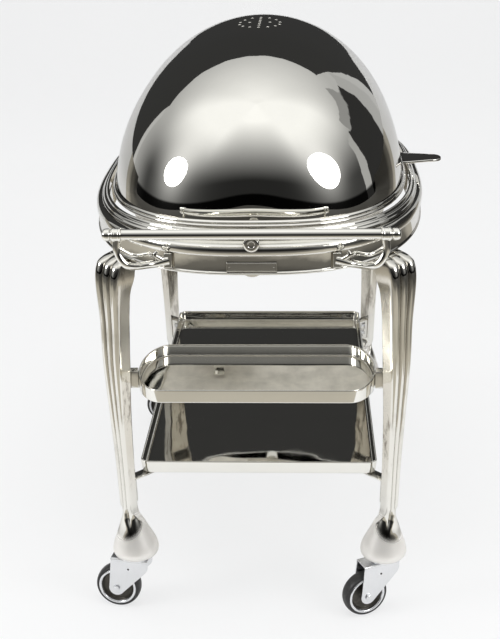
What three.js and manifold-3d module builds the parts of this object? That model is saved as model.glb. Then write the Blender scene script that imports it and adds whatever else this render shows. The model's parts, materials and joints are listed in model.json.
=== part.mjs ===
// Roll-top carving trolley, millimetres, +Z up.
// The long axis is Y. The push bar is at the near end, -Y. The cover's handle is on the +X side.
// The cover rolls about a long axis through the two end shafts, up over the pan and under it.

import * as THREE from 'three';
import { mergeVertices } from 'three/addons/utils/BufferGeometryUtils.js';
import Module from 'manifold-3d';

const wasm = await Module();
wasm.setup();

// ---------------------------------------------------------------- driving dimensions
const SEAT_GAP = 0.3; // between pieces that rest on or fasten to each other
const ROLL_CLEARANCE = 3.5; // from the rolling cover to the frame around it

// oval body
const LEDGE_AT_SIDES = 21.5; // from the cover's opening out to the band
const LEDGE_AT_ENDS = 40.5;
const BODY_SQUARENESS = 2.6; // exponent of the oval, 2 is an ellipse
const LEDGE_Z = 717;
const BAND_HEIGHT = 48;
const BAND_WALL = 2.5;
const SKIRT_DROP = 44;
const EDGE_BEAD = 2.5;
const TOP_ROLL_HEIGHT = 18;
const TOP_ROLL_BULGE = 3.5;
const MOULDING_WIDTH = 14;
const MOULDING_HEIGHT = 14;

// roll-top cover
const AXIS_ABOVE_LEDGE = 3;
const COVER_HALF_WIDTH = 257;
const COVER_HALF_LENGTH = 440;
const COVER_RISE = 265;
const COVER_SQUARENESS = 2.8;
const COVER_WALL = 2.5;
const COVER_EDGE_ABOVE_AXIS = 10;
const COVER_BEAD_WIDTH = 6;
const COVER_BEAD_HEIGHT = 12;
const COVER_BEAD_ROOT = 6; // into the shell, cut back to its face
const VENT_RADIUS = 2.2;
const VENT_RING_HALF_WIDTH = 37;
const VENT_RING_HALF_LENGTH = 68;
const VENT_RING_COUNT = 14;
const VENT_LINE_COUNT = 5;
const VENT_PITCH = 22;
const HANDLE_REACH = 71;
const HANDLE_WIDTH = 76;
const HANDLE_TIP_WIDTH = 48;
const HANDLE_CENTRE_Y = -18;
const HANDLE_THICKNESS = 4.5;
const HANDLE_ABOVE_AXIS = 14;

// end shafts, lugs and hangers
const SHAFT_RADIUS = 7;
const SHAFT_CAP_RADIUS = 12.5;
const SHAFT_CAP_REACH = 7;
const LUG_THICKNESS = 4;
const LUG_RADIUS = 17;
const LUG_HEIGHT = 34;
const LUG_SET_IN = 3; // from the inside of the cover's end to the lug's face
const HANGER_THICKNESS = 4;
const HANGER_WIDTH = 44;
const HANGER_DROP = 30;
const BLOCK_WIDTH = 32;
const BLOCK_BELOW_BAND = 5;

// pan, plate, board and wells
const PAN_FLANGE = 10;
const PAN_WALL = 2;
const PAN_DEPTH = 83;
const PAN_SIDE_GAP = 9; // from the cover's face in to the pan's flange
const PAN_TAPER = 20;
const PLATE_THICKNESS = 3;
const PLATE_INSET = 4;
const BOARD_WIDTH = 290;
const BOARD_LENGTH = 470;
const BOARD_THICKNESS = 16;
const BOARD_CENTRE_Y = -95;
const BOARD_CORNER = 40;
const GROOVE_WIDTH = 10;
const GROOVE_DEPTH = 4;
const GROOVE_MARGIN = 18;
const WELL_RADIUS = 62;
const WELL_DEPTH = 58;
const WELL_FLANGE = 7;
const WELL_WALL = 1.6;
const WELL_X = 82;
const WELL_Y = 262;
const LID_RISE = 20;
const KNOB_RADIUS = 9;
const KNOB_HEIGHT = 16;

// burner under the pan
const BURNER_X = -100;
const BURNER_Y = 200;
const BURNER_RING_RADIUS = 84;
const BURNER_RING_WIDTH = 17;
const BURNER_RING_THICKNESS = 5;
const BURNER_DROP = 50; // from the pan down to the ring's top
const BURNER_CUP_RADIUS = 66;
const BURNER_CUP_DEPTH = 30;
const BURNER_STRAP_WIDTH = 22;
const BURNER_STRAP_THICKNESS = 3;

// push bar
const BAR_RADIUS = 8.5;
const BAR_HALF_LENGTH = 210;
const BAR_ABOVE_LEDGE = 23;
const BAR_STAND_OFF = 20; // from the band to the bar's middle
const COLLAR_RADIUS = 10.5;
const COLLAR_WIDTH = 14;
const COLLAR_X = 201;
const BAR_CAP_LENGTH = 13;
const BRACKET_FOOT_X = 130;
const BRACKET_FOOT_WIDTH = 13;
const BRACKET_FOOT_HEIGHT = 24;
const BRACKET_FOOT_DEPTH = 8;
const BRACKET_THICKNESS = 12;
const BRACKET_SLIM = 6;
const BRACKET_SWEEP = 12; // how far the scroll stands off the band near its foot

// name plate, left bare
const NAME_PLATE_WIDTH = 77;
const NAME_PLATE_HEIGHT = 14.5;
const NAME_PLATE_THICKNESS = 2.4;
const NAME_PLATE_RIM = 2;
const NAME_PLATE_RECESS = 0.9;

// shelves
const SHELF_TOP_Z = 286;
const SHELF_LIP = 24;
const SHELF_WALL = 2.5;
const SHELF_FLARE = 3;
const SHELF_CORNER_CUT = 10;
const TRAY_SIDE_GAP = 7; // from the shelf's side in to the tray's bowed end
const TRAY_BOW = 46;
const TRAY_HALF_DEPTH = 98;
const TRAY_TOP_Z = 463;
const TRAY_LIP = 23;
const TRAY_SET_BACK = 7; // from the shelf's near edge to the tray's middle
const TRAY_WALL = 2.5;
const SHELF_BRACKET_WIDTH = 20;
const SHELF_BRACKET_HEIGHT = 46;
const SHELF_BRACKET_THICKNESS = 3;
const SHELF_BRACKET_FLANGE = 46;
const SCREW_HOLE_RADIUS = 3;
const TRAY_BRACKET_WIDTH = 18;
const TRAY_BRACKET_HEIGHT = 30;

// legs, which stand under the band and carry the shelf's corners
const LEG_FROM_END = 120; // from the band's end in to a leg's root
const LEG_INSET = 19.2; // from the band's face in to a leg's root
const LEG_STEP = 44; // the furthest that a leg steps out along its diagonal
const LEG_WIDTH = 59;
const LEG_BACK = 33;
const LEG_REED = 10;
const REED_COUNT = 3;
const FOOT_OUT = 18.5; // step out along the diagonal to the middle of the foot
const FOOT_BOTTOM_Z = 113;
const FOOT_HEIGHT = 76;
const FOOT_RADIUS = 40.5;

// A leg's form from its shoulder down, as shares of its length and of the sizes above.
const LEG_FORM = [
  { drop: 0, out: 0.2727, width: 0.8136, back: 0.4242, reed: 0.5 },
  { drop: 0.009, out: 0.6136, width: 0.9322, back: 0.7879, reed: 0.8 },
  { drop: 0.0234, out: 0.8409, width: 0.9831, back: 1, reed: 1 },
  { drop: 0.0576, out: 0.9545, width: 1, back: 1, reed: 1 },
  { drop: 0.108, out: 0.9886, width: 0.9492, back: 0.7576, reed: 0.95 },
  { drop: 0.2087, out: 0.9773, width: 0.8136, back: 0.6667, reed: 0.85 },
  { drop: 0.3167, out: 1, width: 0.7458, back: 0.6667, reed: 0.8 },
  { drop: 0.4967, out: 0.9318, width: 0.6102, back: 0.5455, reed: 0.65 },
  { drop: 0.6766, out: 0.8409, width: 0.5254, back: 0.4848, reed: 0.5 },
  { drop: 0.8422, out: 0.7727, width: 0.4746, back: 0.4848, reed: 0.48 },
];
// The foot's form, with its lean back from the foot's middle to the leg's.
const FOOT_FORM = [
  { rise: 1, radius: 0.43, lean: 1 },
  { rise: 0.9, radius: 0.5, lean: 0.75 },
  { rise: 0.72, radius: 0.617, lean: 0.45 },
  { rise: 0.46, radius: 0.81, lean: 0.15 },
  { rise: 0.26, radius: 0.951, lean: 0 },
  { rise: 0.12, radius: 1, lean: 0 },
  { rise: 0.05, radius: 0.975, lean: 0 },
  { rise: 0, radius: 0.9, lean: 0 },
];

// castors
const WHEEL_RADIUS = 41;
const TYRE_DEPTH = 9;
const TYRE_WIDTH = 24;
const HUB_WIDTH = 18;
const HUB_RIM = 4;
const HUB_BOSS = 2;
const HUB_BOSS_RADIUS = 9;
const AXLE_RADIUS = 4;
const AXLE_HEAD_RADIUS = 7;
const AXLE_HEAD = 3;
const RUNNING_GAP = 0.4;
const TRAIL = 36;
const FORK_PLATE = 2.5;
const FORK_GAP = 2; // from the tyre to each fork plate
const FORK_TOP_Z = 103;
const FORK_BOSS_RADIUS = 14;
const FORK_FRONT = 24;
const FORK_BROW = 20;
const FORK_BACK = 44;
const CROWN_RADIUS = 22;
const CROWN_THICKNESS = 4;
const RACE_RADIUS = 24;
const STEM_RADIUS = 7;
const STEM_LENGTH = 42;
const CASTOR_ANGLES = { near_left: 170, near_right: 205, far_left: 176, far_right: 192 };

// facets
const OVAL_SEGMENTS = 40;
const PAN_SEGMENTS = 32;
const COVER_SEGMENTS = 32;
const COVER_STEPS = 18;
const ROUND = 16;
const SMALL_ROUND = 10;
const TRAY_ROUND = 9;
const WELD = 1e-3; // vertices closer than this are one

// ---------------------------------------------------------------- finishes
const silver = new THREE.MeshStandardMaterial({ color: 0xd9d4c8, roughness: 0.12, metalness: 1 });
const chrome = new THREE.MeshStandardMaterial({ color: 0xd4d6d8, roughness: 0.1, metalness: 1 });
const steel = new THREE.MeshStandardMaterial({ color: 0x9b9994, roughness: 0.35, metalness: 1 });
const rubber = new THREE.MeshStandardMaterial({ color: 0x5a5a58, roughness: 0.8, metalness: 0 });
const maple = new THREE.MeshStandardMaterial({ color: 0xb98d5c, roughness: 0.6, metalness: 0 });

// ---------------------------------------------------------------- geometry helpers
const point = (x, y, z) => new THREE.Vector3(x, y, z);

function signedVolume(geometry) {
  const at = geometry.attributes.position;
  const index = geometry.index.array;
  const [a, b, c] = [point(), point(), point()];
  let total = 0;
  for (let i = 0; i < index.length; i += 3) {
    a.fromBufferAttribute(at, index[i]);
    b.fromBufferAttribute(at, index[i + 1]);
    c.fromBufferAttribute(at, index[i + 2]);
    total += a.dot(b.cross(c));
  }
  return total;
}

function facingOut(geometry) {
  if (signedVolume(geometry) < 0) {
    const index = geometry.index.array;
    for (let i = 0; i < index.length; i += 3) [index[i], index[i + 1]] = [index[i + 1], index[i]];
  }
  return geometry;
}

// Shares the vertices that coincide and drops the triangles that this leaves without area.
function welded(geometry) {
  const bare = geometry.clone();
  bare.deleteAttribute('normal');
  bare.deleteAttribute('uv');
  const merged = mergeVertices(bare, WELD);
  const [from, kept] = [merged.index.array, []];
  for (let i = 0; i < from.length; i += 3) {
    const [a, b, c] = from.subarray(i, i + 3);
    if (a !== b && b !== c && c !== a) kept.push(a, b, c);
  }
  merged.setIndex(kept);
  return facingOut(merged);
}

// Skins a list of loops, each a list of points, into a ring or a capped solid.
function skin(loops, closed) {
  const count = loops[0].length;
  const vertices = loops.flat();
  const index = [];
  const spans = closed ? loops.length : loops.length - 1;
  for (let i = 0; i < spans; i++) {
    const next = (i + 1) % loops.length;
    for (let j = 0; j < count; j++) {
      const k = (j + 1) % count;
      const [a, b, c, d] = [i * count + j, i * count + k, next * count + k, next * count + j];
      index.push(a, b, c, a, c, d);
    }
  }
  if (!closed) {
    for (const end of [0, loops.length - 1]) {
      const middle = loops[end].reduce((sum, p) => sum.add(p), point(0, 0, 0)).divideScalar(count);
      vertices.push(middle);
      for (let j = 0; j < count; j++) {
        const pair = [end * count + j, end * count + ((j + 1) % count)];
        if (end === 0) pair.reverse();
        index.push(pair[0], pair[1], vertices.length - 1);
      }
    }
  }
  const geometry = new THREE.BufferGeometry().setFromPoints(vertices);
  geometry.setIndex(index);
  return welded(geometry);
}

function toSolid(geometry) {
  const clean = welded(geometry);
  const vertProperties = new Float32Array(clean.attributes.position.array);
  const triVerts = new Uint32Array(clean.index.array);
  return new wasm.Manifold(new wasm.Mesh({ numProp: 3, vertProperties, triVerts }));
}

function toGeometry(solid) {
  const mesh = solid.getMesh();
  const geometry = new THREE.BufferGeometry();
  geometry.setAttribute('position', new THREE.BufferAttribute(mesh.vertProperties, 3));
  geometry.setIndex(new THREE.BufferAttribute(mesh.triVerts, 1));
  return geometry;
}

const cut = (body, ...tools) => toGeometry(
  tools.reduce((left, tool) => left.subtract(toSolid(tool)), toSolid(body)));
const join = (body, ...others) => toGeometry(
  others.reduce((left, other) => left.add(toSolid(other)), toSolid(body)));
const common = (body, other) => toGeometry(toSolid(body).intersect(toSolid(other)));

// A box given by its low and high corners.
function box(low, high) {
  const size = high.map((h, i) => h - low[i]);
  const middle = high.map((h, i) => (h + low[i]) / 2);
  return new THREE.BoxGeometry(...size).translate(...middle);
}

// A cylinder along Y between two places.
function rodAlongY(radius, from, to, z, sides = ROUND) {
  return new THREE.CylinderGeometry(radius, radius, to - from, sides)
    .translate(0, (from + to) / 2, z);
}

// A lathed solid about Z, from [radius, height] pairs.
function turned(profile, sides = ROUND) {
  const outline = profile.map(([radius, height]) => new THREE.Vector2(radius, height));
  return new THREE.LatheGeometry(outline, sides).rotateX(Math.PI / 2);
}

// A flat shape raised along Z between two heights.
function raised(shape, low, high, curveSegments = SMALL_ROUND) {
  return new THREE.ExtrudeGeometry(shape, { depth: high - low, bevelEnabled: false, curveSegments })
    .translate(0, 0, low);
}

function outline(points) {
  return new THREE.Shape(points.map(([x, y]) => new THREE.Vector2(x, y)));
}

// ---------------------------------------------------------------- ovals
class Oval extends THREE.Curve {
  constructor(halfWidth, halfLength, squareness) {
    super();
    Object.assign(this, { halfWidth, halfLength, squareness, arcLengthDivisions: 800 });
  }

  getPoint(t, target = new THREE.Vector3()) {
    const power = 2 / this.squareness;
    const [c, s] = [Math.cos(2 * Math.PI * t), Math.sin(2 * Math.PI * t)];
    const x = this.halfWidth * Math.sign(c) * Math.abs(c) ** power;
    const y = this.halfLength * Math.sign(s) * Math.abs(s) ** power;
    return target.set(x, y, 0);
  }
}

const ovalLoop = (halfWidth, halfLength, squareness, count = OVAL_SEGMENTS) => (
  new Oval(halfWidth, halfLength, squareness).getSpacedPoints(count).slice(0, count));

function outwardAt(loop, i) {
  const before = loop[(i + loop.length - 1) % loop.length];
  const after = loop[(i + 1) % loop.length];
  const along = after.clone().sub(before).normalize();
  return point(along.y, -along.x, 0);
}

// A ring between two ovals. Each profile point is [share outwards, offset, height].
function ovalRing(profile, inner, outer) {
  const loops = inner.map((from, i) => {
    const outward = outwardAt(outer, i);
    return profile.map(([share, offset, z]) => from.clone().lerp(outer[i], share)
      .addScaledVector(outward, offset).setZ(z));
  });
  return skin(loops, true);
}

// A solid through ovals of one squareness, each given as [half width, half length, height].
function ovalLoft(levels, squareness, count = OVAL_SEGMENTS) {
  const loops = levels.map(([w, l, z]) => ovalLoop(w, l, squareness, count).map((p) => p.setZ(z)));
  return skin(loops, false);
}

// ---------------------------------------------------------------- shared places
const AXIS_Z = LEDGE_Z + AXIS_ABOVE_LEDGE;
const HANDLE_Z = AXIS_Z + HANDLE_ABOVE_AXIS;
const BAR_Z = LEDGE_Z + BAR_ABOVE_LEDGE;
const COVER_OPENING = COVER_BEAD_WIDTH + ROLL_CLEARANCE;
const OPENING_HALF_WIDTH = COVER_HALF_WIDTH + COVER_OPENING + (COVER_RISE - COVER_HALF_WIDTH) / 4;
const OPENING_HALF_LENGTH = COVER_HALF_LENGTH + COVER_OPENING;
const BODY_HALF_WIDTH = OPENING_HALF_WIDTH + LEDGE_AT_SIDES;
const BODY_HALF_LENGTH = OPENING_HALF_LENGTH + LEDGE_AT_ENDS;
const BAND_BOTTOM_Z = LEDGE_Z - BAND_HEIGHT;
const bodyLoop = ovalLoop(BODY_HALF_WIDTH, BODY_HALF_LENGTH, BODY_SQUARENESS);
const openingLoop = ovalLoop(OPENING_HALF_WIDTH, OPENING_HALF_LENGTH, COVER_SQUARENESS);
const BAND_OUTER = BODY_HALF_LENGTH + TOP_ROLL_BULGE;
const LUG_FACE_Y = COVER_HALF_LENGTH - COVER_WALL - LUG_SET_IN;
const HANGER_FACE_Y = LUG_FACE_Y - LUG_THICKNESS - 2 * SEAT_GAP;
const PAN_HALF_LENGTH = HANGER_FACE_Y - HANGER_THICKNESS - SEAT_GAP;
const PAN_HALF_WIDTH = COVER_HALF_WIDTH - PAN_SIDE_GAP;
const PAN_TOP_Z = AXIS_Z + 6;
const PAN_BOTTOM_Z = PAN_TOP_Z - PAN_DEPTH;
const BURNER_RING_Z = PAN_BOTTOM_Z - BURNER_DROP;
const PLATE_Z = PAN_TOP_Z + SEAT_GAP;
const DECK_Z = PLATE_Z + PLATE_THICKNESS;

// The half breadth of the oval body at a place along its length.
function bodyBreadth(y) {
  const share = Math.abs(y / BODY_HALF_LENGTH) ** BODY_SQUARENESS;
  return BODY_HALF_WIDTH * (1 - share) ** (1 / BODY_SQUARENESS);
}

// The band's face at the near end, at a place across the trolley.
function bandFaceY(x) {
  const share = Math.abs(x / BODY_HALF_WIDTH) ** BODY_SQUARENESS;
  return -BODY_HALF_LENGTH * (1 - share) ** (1 / BODY_SQUARENESS);
}

const SHELF_HALF_LENGTH = BODY_HALF_LENGTH - LEG_FROM_END;
const SHELF_HALF_WIDTH = bodyBreadth(SHELF_HALF_LENGTH) - LEG_INSET;
const TRAY_HALF_WIDTH = SHELF_HALF_WIDTH - TRAY_SIDE_GAP;
const TRAY_STRAIGHT_HALF_WIDTH = TRAY_HALF_WIDTH - TRAY_BOW;

const LEG_TOP_Z = BAND_BOTTOM_Z - SEAT_GAP;
const LEG_LENGTH = LEG_TOP_Z - FOOT_BOTTOM_Z;
const LEG_ROWS = LEG_FORM.map(({ drop, out, width, back, reed }) => ({
  drop: drop * LEG_LENGTH,
  out: out * LEG_STEP,
  width: width * LEG_WIDTH,
  back: back * LEG_BACK,
  reed: reed * LEG_REED,
}));

// ---------------------------------------------------------------- cover
// The domed body of the cover, filled, grown or shrunk by an inset.
function coverBody(inset) {
  const power = 2 / COVER_SQUARENESS;
  const profile = [];
  for (let i = 0; i <= COVER_STEPS; i++) {
    const angle = Math.PI * (i / COVER_STEPS - 0.5);
    const along = Math.sign(angle) * Math.abs(Math.sin(angle)) ** power;
    const across = i % COVER_STEPS === 0 ? 0 : Math.cos(angle) ** power;
    const radius = (COVER_HALF_WIDTH - inset) * across;
    profile.push(new THREE.Vector2(radius, (COVER_HALF_LENGTH - inset) * along));
  }
  return new THREE.LatheGeometry(profile, COVER_SEGMENTS)
    .scale(1, 1, COVER_RISE / COVER_HALF_WIDTH)
    .translate(0, 0, AXIS_Z);
}

function ventPlaces() {
  const places = [];
  for (let i = 0; i < VENT_RING_COUNT; i++) {
    const angle = 2 * Math.PI * ((i + 0.5) / VENT_RING_COUNT);
    places.push([VENT_RING_HALF_WIDTH * Math.cos(angle), VENT_RING_HALF_LENGTH * Math.sin(angle)]);
  }
  for (let i = 0; i < VENT_LINE_COUNT; i++) {
    places.push([0, VENT_PITCH * (i - (VENT_LINE_COUNT - 1) / 2)]);
  }
  for (const side of [-1, 1]) places.push([side * VENT_RING_HALF_WIDTH / 2, 0]);
  return places;
}

function coverShell() {
  const low = AXIS_Z + COVER_EDGE_ABOVE_AXIS;
  const far = COVER_HALF_LENGTH * 2;
  const upperHalf = box([-far, -far, low], [far, far, low + far]);
  const shell = common(cut(coverBody(0), coverBody(COVER_WALL)), upperHalf);
  const vents = ventPlaces().map(([x, y]) => (
    new THREE.CylinderGeometry(VENT_RADIUS, VENT_RADIUS, COVER_RISE, 5)
      .rotateX(Math.PI / 2).translate(x, y, AXIS_Z + COVER_RISE)));
  const notch = rodAlongY(SHAFT_RADIUS + ROLL_CLEARANCE, -far, far, AXIS_Z);
  return cut(shell, notch, ...vents);
}

function coverHandle(grow) {
  const half = HANDLE_WIDTH / 2 + grow;
  const tipHalf = HANDLE_TIP_WIDTH / 2 + grow;
  const root = COVER_HALF_WIDTH - COVER_BEAD_WIDTH;
  const tip = COVER_HALF_WIDTH + COVER_BEAD_WIDTH + HANDLE_REACH + grow;
  const shape = new THREE.Shape();
  shape.moveTo(root, -half);
  shape.lineTo(tip - tipHalf, -tipHalf);
  shape.quadraticCurveTo(tip, -tipHalf, tip, 0);
  shape.quadraticCurveTo(tip, tipHalf, tip - tipHalf, tipHalf);
  shape.lineTo(root, half);
  return raised(shape, HANDLE_Z - grow, HANDLE_Z + HANDLE_THICKNESS + grow, 5)
    .translate(0, HANDLE_CENTRE_Y, 0);
}

function coverBead() {
  const low = AXIS_Z + COVER_EDGE_ABOVE_AXIS - 1;
  const step = COVER_BEAD_HEIGHT / 2;
  const [wide, root] = [COVER_BEAD_WIDTH, COVER_BEAD_ROOT];
  const profile = [
    [0, -root, low], [0, wide * 0.6, low], [0, wide, low + step * 0.35], [0, wide, low + step * 0.75],
    [0, wide * 0.55, low + step * 1.05], [0, wide * 0.55, low + step * 1.6],
    [0, wide * 0.25, low + step * 2], [0, -root, low + step * 2],
  ];
  const loop = ovalLoop(COVER_HALF_WIDTH, COVER_HALF_LENGTH, COVER_SQUARENESS);
  const far = COVER_HALF_LENGTH * 2;
  const notch = rodAlongY(SHAFT_RADIUS + ROLL_CLEARANCE, -far, far, AXIS_Z);
  return cut(ovalRing(profile, loop, loop), coverBody(-SEAT_GAP), notch, coverHandle(SEAT_GAP));
}

// An ear inside one end of the cover, which turns on the end shaft.
function coverLug(end) {
  const shape = new THREE.Shape();
  const half = LUG_RADIUS;
  shape.moveTo(half, 0);
  shape.lineTo(half, LUG_HEIGHT);
  shape.lineTo(-half, LUG_HEIGHT);
  shape.lineTo(-half, 0);
  shape.absarc(0, 0, half, Math.PI, 2 * Math.PI, false);
  const hole = new THREE.Path().absarc(0, 0, SHAFT_RADIUS + SEAT_GAP, 0, 2 * Math.PI, true);
  shape.holes.push(hole);
  const middle = end * (LUG_FACE_Y - LUG_THICKNESS / 2);
  return raised(shape, -LUG_THICKNESS / 2, LUG_THICKNESS / 2)
    .rotateX(Math.PI / 2).translate(0, middle, AXIS_Z);
}

// ---------------------------------------------------------------- oval frame
function shaftBore(radius) {
  const far = BODY_HALF_LENGTH * 1.2;
  return rodAlongY(radius, -far, far, AXIS_Z);
}

function capRecess(end) {
  const from = end * (BODY_HALF_LENGTH - BAND_WALL - 3);
  const to = end * (BAND_OUTER + SHAFT_CAP_REACH + 5);
  const radius = SHAFT_CAP_RADIUS + SEAT_GAP;
  return rodAlongY(radius, Math.min(from, to), Math.max(from, to), AXIS_Z);
}

function bandRing() {
  const [foot, rollFoot] = [BAND_BOTTOM_Z, LEDGE_Z - TOP_ROLL_HEIGHT];
  const under = LEDGE_Z - BAND_WALL;
  const bulge = TOP_ROLL_BULGE;
  const profile = [
    [1, -BAND_WALL, foot], [1, EDGE_BEAD * 0.6, foot], [1, EDGE_BEAD, foot + EDGE_BEAD],
    [1, 0, foot + EDGE_BEAD * 2], [1, 0, rollFoot], [1, bulge * 0.7, rollFoot + 1.5],
    [1, bulge, rollFoot + TOP_ROLL_HEIGHT * 0.4], [1, bulge * 0.7, LEDGE_Z - 3.5],
    [1, -2, LEDGE_Z], [0, 0, LEDGE_Z], [0, 0, LEDGE_Z - SKIRT_DROP],
    [0, BAND_WALL, LEDGE_Z - SKIRT_DROP], [0, BAND_WALL, under], [1, -BAND_WALL, under],
  ];
  const ring = ovalRing(profile, openingLoop, bodyLoop);
  return cut(ring, shaftBore(SHAFT_RADIUS + SEAT_GAP), capRecess(-1), capRecess(1));
}

// The stepped moulding that stands on the ledge round the cover.
function ledgeMoulding() {
  const low = LEDGE_Z + SEAT_GAP;
  const [wide, high] = [MOULDING_WIDTH, MOULDING_HEIGHT];
  const profile = [
    [0, 0.5, low], [0, wide, low], [0, wide, low + high * 0.2], [0, wide * 0.8, low + high * 0.36],
    [0, wide * 0.7, low + high * 0.6], [0, wide * 0.4, low + high * 0.68],
    [0, wide * 0.34, low + high * 0.9], [0, wide * 0.15, low + high], [0, 0.5, low + high * 0.9],
  ];
  return cut(ovalRing(profile, openingLoop, openingLoop), shaftBore(SHAFT_RADIUS + SEAT_GAP));
}

// A block in the band's channel that holds one end shaft. Its rounded foot shows under the band.
function shaftBlock(end) {
  const half = BLOCK_WIDTH / 2;
  const foot = BAND_BOTTOM_Z - BLOCK_BELOW_BAND;
  const top = LEDGE_Z - BAND_WALL - SEAT_GAP;
  const shape = new THREE.Shape();
  shape.moveTo(-half, foot + half * 0.7);
  shape.absellipse(0, foot + half * 0.7, half, half * 0.7, Math.PI, 2 * Math.PI, false);
  shape.lineTo(half, top);
  shape.lineTo(-half, top);
  const inner = OPENING_HALF_LENGTH + BAND_WALL + SEAT_GAP;
  const outer = BODY_HALF_LENGTH - BAND_WALL - 1;
  const block = raised(shape, -(outer - inner) / 2, (outer - inner) / 2)
    .rotateX(Math.PI / 2).translate(0, end * (outer + inner) / 2, 0);
  return cut(block, shaftBore(SHAFT_RADIUS + SEAT_GAP), capRecess(end));
}

function endShaft(end) {
  const inner = end * (PAN_HALF_LENGTH + SEAT_GAP);
  const face = end * (BODY_HALF_LENGTH - BAND_WALL - 1);
  const cap = end * (BAND_OUTER + SHAFT_CAP_REACH);
  const shaft = rodAlongY(SHAFT_RADIUS, Math.min(inner, cap), Math.max(inner, cap), AXIS_Z);
  const head = new THREE.CylinderGeometry(SHAFT_CAP_RADIUS, SHAFT_CAP_RADIUS,
    Math.abs(cap - face) * 0.8, ROUND).translate(0, face + (cap - face) * 0.4, AXIS_Z);
  const dome = new THREE.CylinderGeometry(SHAFT_CAP_RADIUS, SHAFT_CAP_RADIUS * 0.75,
    Math.abs(cap - face) * 0.2, ROUND);
  if (end > 0) dome.rotateX(Math.PI);
  dome.translate(0, face + (cap - face) * 0.9, AXIS_Z);
  return join(shaft, head, dome);
}

function namePlate() {
  const [w, h, rim] = [NAME_PLATE_WIDTH / 2, NAME_PLATE_HEIGHT / 2, NAME_PLATE_RIM];
  const face = -BODY_HALF_LENGTH - 0.2;
  const front = face - NAME_PLATE_THICKNESS;
  const z = BAND_BOTTOM_Z + 2 * EDGE_BEAD + 1 + h;
  const plate = box([-w, front, z - h], [w, face + 3, z + h]);
  const recess = box([-w + rim, front - 1, z - h + rim],
    [w - rim, front + NAME_PLATE_RECESS, z + h - rim]);
  const grown = BODY_HALF_WIDTH + SEAT_GAP;
  const body = ovalLoft([
    [grown, BODY_HALF_LENGTH + SEAT_GAP, BAND_BOTTOM_Z], [grown, BODY_HALF_LENGTH + SEAT_GAP, LEDGE_Z],
  ], BODY_SQUARENESS);
  return cut(plate, recess, body);
}

// ---------------------------------------------------------------- push bar
const BAR_Y = -BODY_HALF_LENGTH - BAR_STAND_OFF;

function barAlongX(radius, from, to, sides = ROUND) {
  return new THREE.CylinderGeometry(radius, radius, to - from, sides)
    .rotateZ(Math.PI / 2).translate((from + to) / 2, BAR_Y, BAR_Z);
}

function barCap(side) {
  const radius = BAR_RADIUS + 1.5;
  const long = BAR_CAP_LENGTH;
  const profile = [
    [0, 0], [radius, 0], [radius, long * 0.55], [radius * 0.8, long * 0.85], [0, long],
  ];
  return turned(profile, SMALL_ROUND).rotateY(side * Math.PI / 2)
    .translate(side * (BAR_HALF_LENGTH + SEAT_GAP), BAR_Y, BAR_Z);
}

// A round strand along a smooth path, thick at its root and slim at its tip.
function strand(path, thick, slim, steps, sides) {
  const curve = new THREE.CatmullRomCurve3(path);
  const { normals, binormals } = curve.computeFrenetFrames(steps, false);
  const loops = normals.map((normal, i) => {
    const radius = (thick + (slim - thick) * i / steps) / 2;
    return Array.from({ length: sides }, (unused, k) => {
      const angle = 2 * Math.PI * (k + 0.5) / sides;
      return curve.getPointAt(i / steps).addScaledVector(normal, radius * Math.cos(angle))
        .addScaledVector(binormals[i], radius * Math.sin(angle));
    });
  });
  return skin(loops, false);
}

// The cast scroll from the band to the bar's collar. The one on the right mirrors the left one.
function barBracket(side) {
  const x = -BRACKET_FOOT_X;
  const face = bandFaceY(x);
  const z = BAND_BOTTOM_Z + EDGE_BEAD * 2 + 2 * SEAT_GAP + BRACKET_FOOT_HEIGHT / 2;
  const half = BRACKET_FOOT_WIDTH / 2;
  const foot = box([x - half, face - BRACKET_FOOT_DEPTH, z - BRACKET_FOOT_HEIGHT / 2],
    [x + half, face + BRACKET_FOOT_DEPTH, z + BRACKET_FOOT_HEIGHT / 2]);
  const low = strand([
    point(x, face - BRACKET_SWEEP / 4, z), point(x - 2 * BRACKET_FOOT_WIDTH, face - BRACKET_SWEEP, z - 4),
    point(-COLLAR_X + COLLAR_WIDTH, BAR_Y + 2, z + 4),
    point(-COLLAR_X, BAR_Y, z + 26), point(-COLLAR_X, BAR_Y, BAR_Z - BAR_RADIUS),
  ], BRACKET_THICKNESS, BRACKET_THICKNESS * 0.8, 9, 6);
  const high = strand([
    point(x - 22, face + 2 - BRACKET_SWEEP, z), point(x - 30, face + 3 - BRACKET_SWEEP, z + 15),
    point(-COLLAR_X + COLLAR_WIDTH + BRACKET_SLIM, BAR_Y + 6, z + 20), point(-COLLAR_X, BAR_Y, z + 33),
  ], BRACKET_SLIM, BRACKET_SLIM, 6, 5);
  const [from, to] = [-COLLAR_X - COLLAR_WIDTH / 2, -COLLAR_X + COLLAR_WIDTH / 2];
  const collar = barAlongX(COLLAR_RADIUS, from, to);
  const bore = barAlongX(BAR_RADIUS + SEAT_GAP, from - COLLAR_WIDTH, to + COLLAR_WIDTH);
  return cut(join(foot, low, high, collar), bore, bodyBlock()).scale(-side, 1, 1);
}

// The oval body filled, a seat's gap outside the bead, the flat band and the roll above it.
function bodyBlock() {
  const beadTop = BAND_BOTTOM_Z + EDGE_BEAD * 2 + SEAT_GAP;
  const rollFoot = LEDGE_Z - TOP_ROLL_HEIGHT - SEAT_GAP;
  const levels = [
    [BAND_BOTTOM_Z - BAND_HEIGHT, EDGE_BEAD], [beadTop, EDGE_BEAD], [beadTop + SEAT_GAP, 0],
    [rollFoot - SEAT_GAP, 0], [rollFoot, TOP_ROLL_BULGE], [LEDGE_Z + BAND_HEIGHT, TOP_ROLL_BULGE],
  ];
  return skin(levels.map(([z, grow]) => bodyLoop.map((p, i) => (
    p.clone().addScaledVector(outwardAt(bodyLoop, i), grow + SEAT_GAP).setZ(z)))), false);
}

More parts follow.
